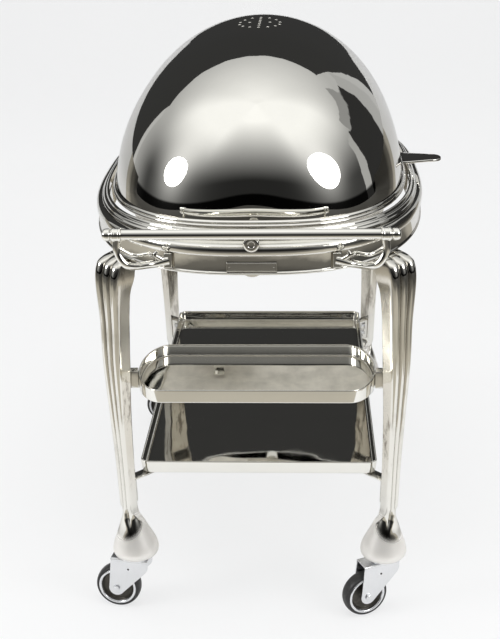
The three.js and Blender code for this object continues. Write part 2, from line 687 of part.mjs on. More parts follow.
// ---------------------------------------------------------------- pan and carving deck
function panLevels(shrink, extraTop) {
  const [w, l] = [PAN_HALF_WIDTH - PAN_FLANGE - shrink, PAN_HALF_LENGTH - PAN_FLANGE - shrink];
  const floor = PAN_BOTTOM_Z + shrink;
  return [[w - PAN_TAPER, l - PAN_TAPER, floor], [w, l, PAN_TOP_Z + extraTop]];
}

function waterPan() {
  const flange = ovalLoft([
    [PAN_HALF_WIDTH, PAN_HALF_LENGTH, PAN_TOP_Z - PAN_WALL], [PAN_HALF_WIDTH, PAN_HALF_LENGTH, PAN_TOP_Z],
  ], COVER_SQUARENESS, PAN_SEGMENTS);
  const outside = ovalLoft(panLevels(0, -PAN_WALL / 2), COVER_SQUARENESS, PAN_SEGMENTS);
  const inside = ovalLoft(panLevels(PAN_WALL, 1), COVER_SQUARENESS, PAN_SEGMENTS);
  return cut(join(outside, flange), inside);
}

function panHanger(end) {
  const half = HANGER_WIDTH / 2;
  const from = end * (PAN_HALF_LENGTH + SEAT_GAP);
  const to = end * HANGER_FACE_Y;
  const plate = box([-half, Math.min(from, to), AXIS_Z - HANGER_DROP],
    [half, Math.max(from, to), PAN_TOP_Z + 2]);
  const root = end * (PAN_HALF_LENGTH - PAN_FLANGE * 0.6);
  const tongue = box([-half, Math.min(root, from), PAN_TOP_Z - PAN_WALL - SEAT_GAP - 4],
    [half, Math.max(root, from + end), PAN_TOP_Z - PAN_WALL - SEAT_GAP]);
  const clear = ovalLoft(panLevels(-SEAT_GAP - 0.2, 0), COVER_SQUARENESS, PAN_SEGMENTS);
  return cut(join(plate, tongue), shaftBore(SHAFT_RADIUS + SEAT_GAP), clear);
}

function deckPlate() {
  const [w, l] = [PAN_HALF_WIDTH - PLATE_INSET, PAN_HALF_LENGTH - PLATE_INSET];
  const plate = ovalLoft([[w, l, PLATE_Z], [w, l, DECK_Z]], COVER_SQUARENESS, PAN_SEGMENTS);
  const holes = [-1, 1].map((side) => new THREE.CylinderGeometry(
    WELL_RADIUS + SEAT_GAP, WELL_RADIUS + SEAT_GAP, PLATE_THICKNESS * 4, ROUND)
    .rotateX(Math.PI / 2).translate(side * WELL_X, WELL_Y, PLATE_Z));
  return cut(plate, ...holes);
}

function roundedOutline(halfWidth, halfLength, radius) {
  const [w, l, r] = [halfWidth, halfLength, radius];
  const shape = new THREE.Shape();
  shape.moveTo(w, -l + r);
  shape.lineTo(w, l - r);
  shape.absarc(w - r, l - r, r, 0, Math.PI / 2, false);
  shape.lineTo(-w + r, l);
  shape.absarc(-w + r, l - r, r, Math.PI / 2, Math.PI, false);
  shape.lineTo(-w, -l + r);
  shape.absarc(-w + r, -l + r, r, Math.PI, 1.5 * Math.PI, false);
  shape.lineTo(w - r, -l);
  shape.absarc(w - r, -l + r, r, 1.5 * Math.PI, 2 * Math.PI, false);
  return shape;
}

function carvingBoard() {
  const low = DECK_Z + SEAT_GAP;
  const [w, l] = [BOARD_WIDTH / 2, BOARD_LENGTH / 2];
  const board = raised(roundedOutline(w, l, BOARD_CORNER), low, low + BOARD_THICKNESS, 4);
  const [m, g] = [GROOVE_MARGIN, GROOVE_MARGIN + GROOVE_WIDTH];
  const trench = roundedOutline(w - m, l - m, BOARD_CORNER - m);
  trench.holes.push(new THREE.Path(roundedOutline(w - g, l - g, BOARD_CORNER - g).getPoints(4)));
  const top = low + BOARD_THICKNESS;
  return cut(board, raised(trench, top - GROOVE_DEPTH, top + 1, 4)).translate(0, BOARD_CENTRE_Y, 0);
}

function sauceWell(side) {
  const top = DECK_Z + SEAT_GAP + WELL_WALL;
  const floor = DECK_Z - WELL_DEPTH;
  const [outer, inner] = [WELL_RADIUS, WELL_RADIUS - WELL_WALL];
  const profile = [
    [0, floor], [outer - 8, floor], [outer - 2, floor + 8], [outer, DECK_Z + SEAT_GAP],
    [outer + WELL_FLANGE, DECK_Z + SEAT_GAP], [outer + WELL_FLANGE, top], [inner, top],
    [inner - 2, floor + 8 + WELL_WALL], [inner - 8, floor + WELL_WALL], [0, floor + WELL_WALL],
  ];
  return turned(profile).translate(side * WELL_X, WELL_Y, 0);
}

function wellLid(side) {
  const low = DECK_Z + 2 * SEAT_GAP + WELL_WALL;
  const rim = WELL_RADIUS + WELL_FLANGE - 1;
  const top = low + LID_RISE;
  const profile = [
    [0, top - 2], [rim * 0.45, top - 4], [rim * 0.8, low + LID_RISE * 0.45], [rim - 6, low + 3],
    [rim - 6, low], [rim, low], [rim, low + 3], [rim * 0.82, low + LID_RISE * 0.6],
    [rim * 0.45, top - 1.5], [KNOB_RADIUS * 0.5, top], [KNOB_RADIUS * 0.5, top + KNOB_HEIGHT * 0.4],
    [KNOB_RADIUS, top + KNOB_HEIGHT * 0.65], [KNOB_RADIUS * 0.7, top + KNOB_HEIGHT * 0.95],
    [0, top + KNOB_HEIGHT],
  ];
  return turned(profile).translate(side * WELL_X, WELL_Y, 0);
}

// ---------------------------------------------------------------- burner
function burnerHolder() {
  const [outer, inner] = [BURNER_RING_RADIUS, BURNER_RING_RADIUS - BURNER_RING_WIDTH];
  const [low, high] = [BURNER_RING_Z - BURNER_RING_THICKNESS, BURNER_RING_Z];
  const ring = turned([[inner, low], [outer, low], [outer, high], [inner, high], [inner, low]]);
  const top = PAN_BOTTOM_Z - SEAT_GAP;
  const half = BURNER_STRAP_WIDTH / 2;
  const thick = BURNER_STRAP_THICKNESS;
  const straps = [-1, 1].flatMap((end) => {
    const wall = end * (outer - thick);
    const flange = end * (outer + BURNER_STRAP_WIDTH);
    return [
      box([-half, Math.min(wall, end * outer), low], [half, Math.max(wall, end * outer), top]),
      box([-half, Math.min(wall, flange), top - thick], [half, Math.max(wall, flange), top]),
    ];
  });
  return join(ring, ...straps).translate(BURNER_X, BURNER_Y, 0);
}

function burnerCup() {
  const [r, wall] = [BURNER_CUP_RADIUS, WELL_WALL];
  const rest = BURNER_RING_Z + SEAT_GAP;
  const floor = BURNER_RING_Z - BURNER_CUP_DEPTH;
  const profile = [
    [0, floor], [r - 8, floor], [r, floor + 8], [r, rest], [r + 8, rest], [r + 8, rest + wall],
    [r - wall, rest + wall], [r - wall, floor + 8], [r - 8 - wall / 2, floor + wall], [0, floor + wall],
  ];
  return turned(profile).translate(BURNER_X, BURNER_Y, 0);
}

// ---------------------------------------------------------------- legs
const DIAGONAL = Math.SQRT1_2;

// The frame of a leg: its root on the shelf's corner, outward along the diagonal, and across it.
function legFrame(sideX, endY) {
  return {
    root: point(sideX * SHELF_HALF_WIDTH, endY * SHELF_HALF_LENGTH, 0),
    out: point(sideX * DIAGONAL, endY * DIAGONAL, 0),
    across: point(-endY * DIAGONAL, sideX * DIAGONAL, 0),
  };
}

// The step out along the diagonal and the back depth of the leg at a height.
function legAt(z) {
  const drop = LEG_TOP_Z - z;
  const after = LEG_ROWS.findIndex((row) => row.drop >= drop);
  const [a, b] = [LEG_ROWS[after - 1], LEG_ROWS[after]];
  const t = (drop - a.drop) / (b.drop - a.drop);
  return { out: a.out + t * (b.out - a.out), back: a.back + t * (b.back - a.back) };
}

// A reeded section: flat back and sides, and a bulging reed across each part of the front.
function reededSection({ width, back, reed }) {
  const section = [[-back, -width / 2], [-back, width / 2]];
  const reach = width / REED_COUNT;
  for (let i = REED_COUNT - 1; i >= 0; i--) {
    const middle = -width / 2 + reach * (i + 0.5);
    for (const share of [1, 0.5, -0.5]) {
      const bulge = Math.sqrt(1 - share * share);
      section.push([reed * bulge, middle + share * reach / 2]);
    }
  }
  section.push([0, -width / 2]);
  return section;
}

// A round section with as many points as another, in the same order round.
function roundSection(radius, like) {
  return like.map((unused, i) => {
    const angle = Math.PI + 2 * Math.PI * (0.5 - i) / like.length;
    return [radius * Math.cos(angle), radius * Math.sin(angle)];
  });
}

function leg(sideX, endY) {
  const { root, out, across } = legFrame(sideX, endY);
  const place = (section, step, z) => section.map(([u, v]) => root.clone()
    .addScaledVector(out, step + u).addScaledVector(across, v).setZ(z));
  const loops = LEG_ROWS.map((row) => place(reededSection(row), row.out, LEG_TOP_Z - row.drop));
  const ankle = LEG_ROWS[LEG_ROWS.length - 1];
  const last = reededSection(ankle);
  for (const { rise, radius, lean } of FOOT_FORM) {
    const step = FOOT_OUT + lean * (ankle.out - ankle.back / 2 - FOOT_OUT);
    loops.push(place(roundSection(radius * FOOT_RADIUS, last), step, FOOT_BOTTOM_Z + rise * FOOT_HEIGHT));
  }
  const middle = root.clone().addScaledVector(out, FOOT_OUT);
  const socket = new THREE.CylinderGeometry(STEM_RADIUS + SEAT_GAP, STEM_RADIUS + SEAT_GAP,
    2 * (STEM_LENGTH + 2), ROUND).rotateX(Math.PI / 2).translate(middle.x, middle.y, FOOT_BOTTOM_Z);
  return cut(skin(loops, false), socket);
}

// ---------------------------------------------------------------- shelves
// A rectangular tray with cut corners, an upstanding lip and a flat floor.
function shelfOutline(grow) {
  const [w, l, c] = [SHELF_HALF_WIDTH + grow, SHELF_HALF_LENGTH + grow, SHELF_CORNER_CUT];
  return [
    [w, -l + c], [w, l - c], [w - c, l], [-w + c, l], [-w, l - c], [-w, -l + c], [-w + c, -l], [w - c, -l],
  ];
}

function lowerShelf() {
  const floor = SHELF_TOP_Z - SHELF_LIP;
  const level = (grow, z) => shelfOutline(grow).map(([x, y]) => point(x, y, z));
  const outside = skin([level(-SHELF_FLARE, floor), level(0, SHELF_TOP_Z)], false);
  const rise = SHELF_FLARE / SHELF_LIP;
  const inside = skin([
    level(-SHELF_FLARE - SHELF_WALL + rise, floor + SHELF_WALL), level(-SHELF_WALL + rise, SHELF_TOP_Z + 1),
  ], false);
  return cut(outside, inside);
}

function bowedOutline(shrink) {
  const shape = new THREE.Shape();
  const [w, d] = [TRAY_STRAIGHT_HALF_WIDTH, TRAY_HALF_DEPTH - shrink];
  const bow = TRAY_HALF_WIDTH - TRAY_STRAIGHT_HALF_WIDTH - shrink;
  shape.moveTo(-w, -d);
  shape.lineTo(w, -d);
  shape.absellipse(w, 0, bow, d, -Math.PI / 2, Math.PI / 2, false);
  shape.lineTo(-w, d);
  shape.absellipse(-w, 0, bow, d, Math.PI / 2, 1.5 * Math.PI, false);
  return shape;
}

const TRAY_Y = -SHELF_HALF_LENGTH + TRAY_SET_BACK;

function plateTray() {
  const floor = TRAY_TOP_Z - TRAY_LIP;
  const outside = raised(bowedOutline(0), floor, TRAY_TOP_Z, TRAY_ROUND);
  const inside = raised(bowedOutline(TRAY_WALL), floor + TRAY_WALL, TRAY_TOP_Z + 1, TRAY_ROUND);
  return cut(outside, inside).translate(0, TRAY_Y, 0);
}

// A block from a near leg's back to the bowed end of the plate tray.
function trayBracket(side) {
  const z = TRAY_TOP_Z - TRAY_LIP / 2;
  const { out, back } = legAt(z);
  const { root, out: diagonal } = legFrame(side, -1);
  const face = root.addScaledVector(diagonal, out - back);
  const half = TRAY_BRACKET_WIDTH / 2;
  const [inner, outer] = [side * TRAY_STRAIGHT_HALF_WIDTH, face.x + side * half];
  const block = box([Math.min(inner, outer), face.y - half, z - TRAY_BRACKET_HEIGHT / 2],
    [Math.max(inner, outer), face.y + half, z + TRAY_BRACKET_HEIGHT / 2]);
  const reach = TRAY_BRACKET_HEIGHT;
  const grownTray = raised(bowedOutline(-SEAT_GAP), z - reach, z + reach, TRAY_ROUND)
    .translate(0, TRAY_Y, 0);
  return cut(block, grownTray, legClearance(side, -1));
}

// The space that a leg takes, a seat's gap larger all round.
function legClearance(sideX, endY) {
  const { root, out, across } = legFrame(sideX, endY);
  const grown = LEG_ROWS.map((row) => reededSection({
    width: row.width + 2 * SEAT_GAP, back: row.back + SEAT_GAP, reed: row.reed + SEAT_GAP,
  }).map(([u, v]) => root.clone().addScaledVector(out, row.out + u)
    .addScaledVector(across, v).setZ(LEG_TOP_Z - row.drop)));
  return skin(grown, false);
}

// An angle bracket from a leg's back to the shelf's corner, with two screw holes.
function shelfBracket(sideX, endY) {
  const { root, out, across } = legFrame(sideX, endY);
  const shelfFloor = SHELF_TOP_Z - SHELF_LIP;
  const low = shelfFloor - SHELF_BRACKET_HEIGHT;
  const half = SHELF_BRACKET_WIDTH / 2;
  const face = (z) => legAt(z).out - legAt(z).back - SEAT_GAP;
  const slab = (z, from, to) => [[from, -half], [to, -half], [to, half], [from, half]]
    .map(([u, v]) => root.clone().addScaledVector(out, u).addScaledVector(across, v).setZ(z));
  const upright = skin([low, shelfFloor - SEAT_GAP].map((z) => (
    slab(z, face(z) - SHELF_BRACKET_THICKNESS, face(z)))), false);
  const near = face(shelfFloor) - SHELF_BRACKET_THICKNESS / 2;
  const flange = skin([shelfFloor - SEAT_GAP - SHELF_BRACKET_THICKNESS, shelfFloor - SEAT_GAP].map((z) => (
    slab(z, near - SHELF_BRACKET_FLANGE, near))), false);
  const holes = [0.3, 0.7].map((share) => {
    const z = low + share * (SHELF_BRACKET_HEIGHT - SHELF_BRACKET_THICKNESS);
    const at = root.clone().addScaledVector(out, face(z)).setZ(z);
    const turn = new THREE.Quaternion().setFromUnitVectors(point(0, 1, 0), out);
    return new THREE.CylinderGeometry(SCREW_HOLE_RADIUS, SCREW_HOLE_RADIUS, 20, 8)
      .applyQuaternion(turn).translate(at.x, at.y, at.z);
  });
  return cut(join(upright, flange), ...holes);
}

// ---------------------------------------------------------------- castors
const AXLE_Z = WHEEL_RADIUS;
const FORK_INNER = TYRE_WIDTH / 2 + FORK_GAP;
const FORK_OUTER = FORK_INNER + FORK_PLATE;
const CROWN_TOP_Z = FOOT_BOTTOM_Z - 5;
const HUB_RADIUS = WHEEL_RADIUS - TYRE_DEPTH - SEAT_GAP;

// The fixed stem and race. X is the trail direction in a castor's own frame.
function castorStem() {
  const top = FOOT_BOTTOM_Z - SEAT_GAP;
  const race = CROWN_TOP_Z + RUNNING_GAP;
  return turned([
    [0, race], [RACE_RADIUS - 3, race], [RACE_RADIUS, race + 1.5], [RACE_RADIUS, top], [STEM_RADIUS, top],
    [STEM_RADIUS, top + STEM_LENGTH], [0, top + STEM_LENGTH],
  ], ROUND);
}

function castorFork() {
  const cheek = new THREE.Shape();
  cheek.moveTo(-FORK_FRONT, FORK_TOP_Z);
  cheek.lineTo(-FORK_FRONT, FORK_TOP_Z - FORK_BROW);
  cheek.lineTo(TRAIL - FORK_BOSS_RADIUS * 0.8, AXLE_Z - FORK_BOSS_RADIUS * 0.6);
  cheek.absarc(TRAIL, AXLE_Z, FORK_BOSS_RADIUS, Math.PI * 1.2, Math.PI * 2.1, false);
  cheek.lineTo(FORK_BACK, FORK_TOP_Z);
  const bore = new THREE.Path().absarc(TRAIL, AXLE_Z, AXLE_RADIUS + RUNNING_GAP, 0, 2 * Math.PI, true);
  cheek.holes.push(bore);
  const cheeks = [-1, 1].map((side) => raised(cheek, 0, FORK_PLATE, 6).rotateX(Math.PI / 2)
    .translate(0, side > 0 ? FORK_OUTER : -FORK_INNER, 0));
  const bridge = box([-FORK_FRONT, -FORK_OUTER, FORK_TOP_Z - FORK_PLATE],
    [FORK_BACK, FORK_OUTER, FORK_TOP_Z]);
  const crown = turned([
    [0, FORK_TOP_Z - 1], [CROWN_RADIUS, FORK_TOP_Z - 1],
    [CROWN_RADIUS, FORK_TOP_Z + CROWN_THICKNESS], [CROWN_RADIUS - 3, CROWN_TOP_Z], [0, CROWN_TOP_Z],
  ], ROUND);
  return join(bridge, crown, ...cheeks);
}

function wheelProfile() {
  const half = HUB_WIDTH / 2;
  const bore = AXLE_RADIUS + RUNNING_GAP;
  return [
    [bore, -half - HUB_BOSS], [HUB_BOSS_RADIUS, -half - HUB_BOSS], [HUB_RADIUS - HUB_RIM, -half / 2],
    [HUB_RADIUS, -half], [HUB_RADIUS, half], [HUB_RADIUS - HUB_RIM, half / 2],
    [HUB_BOSS_RADIUS, half + HUB_BOSS], [bore, half + HUB_BOSS], [bore, -half - HUB_BOSS],
  ];
}

function tyreProfile() {
  const [inner, outer, half] = [WHEEL_RADIUS - TYRE_DEPTH, WHEEL_RADIUS, TYRE_WIDTH / 2];
  return [
    [inner, -half * 0.8], [(inner + outer) / 2, -half], [outer, -half * 0.5],
    [outer, half * 0.5], [(inner + outer) / 2, half], [inner, half * 0.8], [inner, -half * 0.8],
  ];
}

// Turns a solid about Z so that it turns about the axle, across the trail.
const onAxle = (geometry) => geometry.rotateX(Math.PI / 2).translate(TRAIL, 0, AXLE_Z);

function castorAxle() {
  const end = FORK_OUTER + SEAT_GAP;
  return onAxle(turned([
    [0, -end - AXLE_HEAD], [AXLE_HEAD_RADIUS, -end - AXLE_HEAD], [AXLE_HEAD_RADIUS, -end],
    [AXLE_RADIUS, -end], [AXLE_RADIUS, end], [AXLE_HEAD_RADIUS, end],
    [AXLE_HEAD_RADIUS, end + AXLE_HEAD], [0, end + AXLE_HEAD],
  ], SMALL_ROUND));
}

// ---------------------------------------------------------------- assembly
const trolley = new THREE.Group();

function add(name, geometry, material, parent = trolley) {
  const mesh = new THREE.Mesh(welded(geometry), material);
  mesh.name = name;
  parent.add(mesh);
  return mesh;
}

add('cover_shell', coverShell(), silver);
add('cover_edge_bead', coverBead(), silver);
add('cover_handle', cut(coverHandle(0), coverBody(-SEAT_GAP)), silver);
add('oval_band', bandRing(), silver);
add('ledge_moulding', ledgeMoulding(), silver);
for (const [end, name] of [[-1, 'near'], [1, 'far']]) {
  add(`cover_lug_${name}`, coverLug(end), steel);
  add(`shaft_block_${name}`, shaftBlock(end), silver);
  add(`end_shaft_${name}`, endShaft(end), silver);
  add(`pan_hanger_${name}`, panHanger(end), steel);
}
add('name_plate', namePlate(), silver);

add('push_bar', barAlongX(BAR_RADIUS, -BAR_HALF_LENGTH, BAR_HALF_LENGTH), silver);
for (const [side, name] of [[-1, 'left'], [1, 'right']]) {
  add(`bar_cap_${name}`, barCap(side), silver);
  add(`bar_bracket_${name}`, barBracket(side), silver);
  add(`sauce_well_${name}`, sauceWell(side), steel);
  add(`well_lid_${name}`, wellLid(side), silver);
  add(`tray_bracket_${name}`, trayBracket(side), silver);
}

add('water_pan', waterPan(), steel);
add('deck_plate', deckPlate(), silver);
add('carving_board', carvingBoard(), maple);
add('burner_holder', burnerHolder(), silver);
add('burner_cup', burnerCup(), steel);
add('lower_shelf', lowerShelf(), silver);
add('plate_tray', plateTray(), silver);

const CORNERS = [['near_left', -1, -1], ['near_right', 1, -1], ['far_left', -1, 1], ['far_right', 1, 1]];
for (const [name, sideX, endY] of CORNERS) {
  add(`leg_${name}`, leg(sideX, endY), silver);
  add(`shelf_bracket_${name}`, shelfBracket(sideX, endY), silver);
  const castor = new THREE.Group();
  const { root, out } = legFrame(sideX, endY);
  castor.position.copy(root.addScaledVector(out, FOOT_OUT));
  castor.rotation.z = THREE.MathUtils.degToRad(CASTOR_ANGLES[name]);
  trolley.add(castor);
  add(`castor_stem_${name}`, castorStem(), chrome, castor);
  add(`castor_fork_${name}`, castorFork(), chrome, castor);
  add(`castor_axle_${name}`, castorAxle(), chrome, castor);
  add(`castor_wheel_${name}`, onAxle(turned(wheelProfile(), ROUND)), steel, castor);
  add(`castor_tyre_${name}`, onAxle(turned(tyreProfile(), ROUND)), rubber, castor);
}

// The origin is on the floor, under the middle of the whole trolley's box.
const extent = new THREE.Box3().setFromObject(trolley);
const centre = extent.getCenter(new THREE.Vector3());
trolley.position.set(-centre.x, -centre.y, -extent.min.z);

export default trolley;
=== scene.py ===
"""A roll-top carving trolley in polished silver plate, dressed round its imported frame.

Lengths are in metres. X is across the trolley, Y along it away from the push bar, Z up from the floor.
"""

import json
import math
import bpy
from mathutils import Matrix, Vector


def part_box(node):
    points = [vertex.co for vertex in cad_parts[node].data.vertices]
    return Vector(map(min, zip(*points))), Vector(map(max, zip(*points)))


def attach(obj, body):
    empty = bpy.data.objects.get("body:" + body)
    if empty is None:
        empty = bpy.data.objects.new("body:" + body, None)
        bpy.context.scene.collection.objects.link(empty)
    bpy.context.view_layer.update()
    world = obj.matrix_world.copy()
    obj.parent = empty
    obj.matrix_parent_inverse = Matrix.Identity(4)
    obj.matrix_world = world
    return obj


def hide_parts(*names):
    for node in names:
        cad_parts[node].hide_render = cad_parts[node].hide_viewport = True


bl_info = {
    "name": "Roll-top carving trolley",
    "version": (1, 0, 0),
    "blender": (4, 5, 0),
    "location": "3D View > Sidebar > Trolley",
    "description": "Makes the trolley's cover, frame, legs, shelves, castors, carving deck and studio",
    "category": "Object",
}

import bmesh
import bpy
import numpy as np
from bpy.props import FloatProperty, FloatVectorProperty, IntProperty, PointerProperty
from bpy.types import Operator, Panel, PropertyGroup
from mathutils import Matrix, Vector

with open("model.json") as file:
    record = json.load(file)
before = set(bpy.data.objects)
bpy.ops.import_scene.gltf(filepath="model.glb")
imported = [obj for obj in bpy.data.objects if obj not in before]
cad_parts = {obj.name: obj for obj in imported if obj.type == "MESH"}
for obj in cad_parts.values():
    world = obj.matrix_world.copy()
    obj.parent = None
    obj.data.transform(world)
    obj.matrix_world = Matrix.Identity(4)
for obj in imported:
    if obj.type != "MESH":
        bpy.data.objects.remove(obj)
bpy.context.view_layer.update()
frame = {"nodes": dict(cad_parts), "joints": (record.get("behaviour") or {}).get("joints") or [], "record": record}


def node_box(node):
    """The lowest and highest corners of a frame node, as arrays."""
    low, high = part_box(node)
    return np.array(low), np.array(high)


def middle_of(node):
    low, high = node_box(node)
    return (low + high) / 2


CENTRE = middle_of("oval_band") * (1, 1, 0)
CORNERS = {"near_left": (-1, -1), "near_right": (1, -1), "far_left": (-1, 1), "far_right": (1, 1)}
SIDES = {"left": -1, "right": 1}
ENDS = {"near": -1, "far": 1}
SHAFT_RADIUS, SHAFT_PLAY = 0.007, 0.0003


# ------------------------------------------------------------------ sizes and colours


def length(name, description, default):
    return FloatProperty(name=name, description=description, default=default, unit="LENGTH",
                         subtype="DISTANCE", precision=4)


def count(name, description, default, low=3, high=512):
    return IntProperty(name=name, description=description, default=default, min=low, max=high)


def colour(name, description, default):
    return FloatVectorProperty(name=name, description=description, default=default, size=3,
                               subtype="COLOR", min=0, max=1)


class CoverSizes(PropertyGroup):
    half_width: length("Half width", "From the cover's axis to its side", 0.257)
    half_length: length("Half length", "From the middle to the cover's end", 0.440)
    rise: length("Rise", "From the axis to the top of the dome", 0.265)
    squareness: FloatProperty(name="Squareness", description="Exponent of the oval; 2 is an ellipse",
                              default=2.8, min=2, max=6)
    wall: length("Wall", "Thickness of the sheet", 0.0025)
    axis_height: length("Axis height", "The end shafts' middle above the floor", 0.720)
    edge: length("Edge", "From the axis up to the cover's lower edge", 0.010)
    bead: length("Bead", "How far the edge bead stands out", 0.006)
    bead_height: length("Bead height", "From the bead's foot to its top", 0.012)
    vent: length("Vent", "Radius of a steam hole", 0.0022)
    handle_reach: length("Handle reach", "From the edge bead to the handle's tip", 0.071)
    handle_width: length("Handle width", "Across the handle's root", 0.076)
    handle_tip: length("Handle tip width", "Across the handle's rounded tip", 0.048)
    handle_shift: length("Handle shift", "The handle's middle along the cover", -0.018)
    handle_bottom: length("Handle height", "The handle's underside above the floor", 0.734)
    handle_thickness: length("Handle thickness", "Thickness of the handle's plate", 0.0045)


class BodySizes(PropertyGroup):
    half_width: length("Half width", "From the middle to the band's side", 0.290)
    half_length: length("Half length", "From the middle to the band's end", 0.490)
    squareness: FloatProperty(name="Squareness", description="Exponent of the body's oval", default=2.6,
                              min=2, max=6)
    opening_width: length("Opening half width", "Half width of the cover's opening", 0.2685)
    opening_length: length("Opening half length", "Half length of the cover's opening", 0.4495)
    ledge: length("Ledge height", "The ledge above the floor", 0.717)
    band: length("Band height", "From the ledge to the band's foot", 0.048)
    wall: length("Wall", "Thickness of the band's sheet", 0.0025)
    skirt: length("Skirt", "Depth of the inner skirt", 0.044)
    bead: length("Edge bead", "How far the lower bead stands out", 0.0025)
    roll: length("Roll height", "Height of the top roll", 0.018)
    bulge: length("Roll bulge", "How far the top roll stands out", 0.0035)
    moulding_width: length("Moulding width", "Width of the ledge's moulding", 0.014)
    moulding_height: length("Moulding height", "Height of the ledge's moulding", 0.014)
    opening_squareness: FloatProperty(name="Opening squareness", description="Exponent of the opening's oval",
                                      default=2.8, min=2, max=6)


class BarSizes(PropertyGroup):
    radius: length("Radius", "Radius of the push bar", 0.0085)
    half_length: length("Half length", "From the middle to the bar's end", 0.210)
    height: length("Height", "The bar's middle above the floor", 0.740)
    reach: length("Reach", "From the middle of the trolley to the bar", 0.510)
    collar: length("Collar radius", "Radius of the bracket's collar", 0.0105)
    collar_width: length("Collar width", "Length of the collar along the bar", 0.014)
    collar_place: length("Collar place", "From the middle to the collar", 0.201)
    foot_place: length("Foot place", "From the middle to the bracket's foot", 0.130)


class LegSizes(PropertyGroup):
    root_x: length("Root across", "From the middle to a leg's root, across", 0.206)
    root_y: length("Root along", "From the middle to a leg's root, along", 0.370)
    top: length("Top", "Top of the legs above the floor", 0.6687)
    foot_out: length("Foot step", "The foot's middle outward from the root", 0.0185)
    foot_bottom: length("Foot bottom", "Underside of the foot above the floor", 0.113)
    reeds: count("Reeds", "Reeds across the front of a leg", 3, 1, 9)


class ShelfSizes(PropertyGroup):
    half_width: length("Shelf half width", "Half width of the lower shelf", 0.206)
    half_length: length("Shelf half length", "Half length of the lower shelf", 0.370)
    top: length("Shelf top", "Top of the shelf's lip above the floor", 0.286)
    lip: length("Shelf lip", "Height of the shelf's lip", 0.024)
    wall: length("Wall", "Thickness of the sheet", 0.0025)
    flare: length("Flare", "How far the lip leans out", 0.003)
    corner: length("Corner", "Cut at the shelf's corners", 0.010)
    tray_half_width: length("Tray half width", "Half width of the plate tray", 0.199)
    tray_straight: length("Tray straight", "Half of the tray's straight side", 0.153)
    tray_half_depth: length("Tray half depth", "Half depth of the plate tray", 0.098)
    tray_place: length("Tray place", "The tray's middle along the trolley", -0.363)
    tray_top: length("Tray top", "Top of the tray's lip above the floor", 0.463)
    tray_lip: length("Tray lip", "Height of the tray's lip", 0.023)


class CastorSizes(PropertyGroup):
    wheel: length("Wheel radius", "Radius of the wheel over its tyre", 0.041)
    tyre_depth: length("Tyre depth", "From the rim to the tread", 0.009)
    tyre_width: length("Tyre width", "Width of the tyre", 0.024)
    trail: length("Trail", "From the swivel's axis to the axle", 0.036)
    plate: length("Cheek", "Thickness of the fork's sheet", 0.0025)
    gap: length("Gap", "From the tyre to a cheek", 0.002)
    top: length("Fork top", "Top of the fork above the floor", 0.103)
    boss: length("Boss radius", "Radius of the cheek's round end", 0.014)


class Finishes(PropertyGroup):
    silver: colour("Silver plate", "Colour of the polished plate", (0.865, 0.855, 0.81))
    chrome: colour("Chrome", "Colour of the castors' chrome", (0.80, 0.81, 0.83))
    steel: colour("Steel", "Colour of the linings", (0.86, 0.83, 0.76))
    wheel: colour("Wheel", "Colour of the wheels' steel", (0.075, 0.068, 0.058))
    rubber: colour("Rubber", "Colour of the tyres", (0.030, 0.030, 0.031))
    maple: colour("Maple", "Colour of the carving board", (0.52, 0.33, 0.17))


class StudioSettings(PropertyGroup):
    floor: colour("Floor", "Colour of the floor and sweep", (0.84, 0.84, 0.845))
    backdrop: colour("Backdrop", "Near white of the paper in the picture", (0.975, 0.98, 0.985))
    beyond: colour("Beyond", "Studio floor beyond the paper, as the metal mirrors it", (0.46, 0.43, 0.37))
    lamp_power: FloatProperty(name="Lamp power", description="Watts of each round lamp", default=16, min=0)
    top_power: FloatProperty(name="Top power", description="Watts of the overhead lamp", default=22, min=0)
    world_strength: FloatProperty(name="Room strength", description="Strength of the room's light",
                                  default=1.0, min=0)


# ------------------------------------------------------------------ curves and profiles


def oval(half_width, half_length, squareness, segments):
    """Evenly spaced points round a superellipse, anticlockwise from +X."""
    turn = np.linspace(0, 2 * math.pi, 16001)
    cos, sin = np.cos(turn), np.sin(turn)
    power = 2 / squareness
    x = half_width * np.sign(cos) * np.abs(cos) ** power
    y = half_length * np.sign(sin) * np.abs(sin) ** power
    run = np.concatenate([[0], np.cumsum(np.hypot(np.diff(x), np.diff(y)))])
    wanted = np.arange(segments) / segments * run[-1]
    return np.stack([np.interp(wanted, run, x), np.interp(wanted, run, y)], 1)


def outward(loop):
    """Unit normals that point out of an anticlockwise loop."""
    along = np.roll(loop, -1, 0) - np.roll(loop, 1, 0)
    along /= np.linalg.norm(along, axis=1, keepdims=True)
    return np.stack([along[:, 1], -along[:, 0]], 1)


def eased(points, radius, steps=4, closed=True):
    """Rounds the corners of a chain of points. Radius is one number or one for each corner."""
    points = [np.array(p, float) for p in points]
    total = len(points)
    radii = radius if isinstance(radius, (list, tuple)) else [radius] * total
    result = []
    for i, corner in enumerate(points):
        if not closed and i in (0, total - 1) or radii[i] <= 0:
            result.append(corner)
            continue
        before, after = points[i - 1], points[(i + 1) % total]
        back, on = before - corner, after - corner
        start = corner + back * min(0.48, radii[i] / max(np.linalg.norm(back), 1e-9))
        stop = corner + on * min(0.48, radii[i] / max(np.linalg.norm(on), 1e-9))
        for k in range(steps + 1):
            t = k / steps
            result.append(start * (1 - t) ** 2 + corner * 2 * t * (1 - t) + stop * t * t)
    return np.array(result)


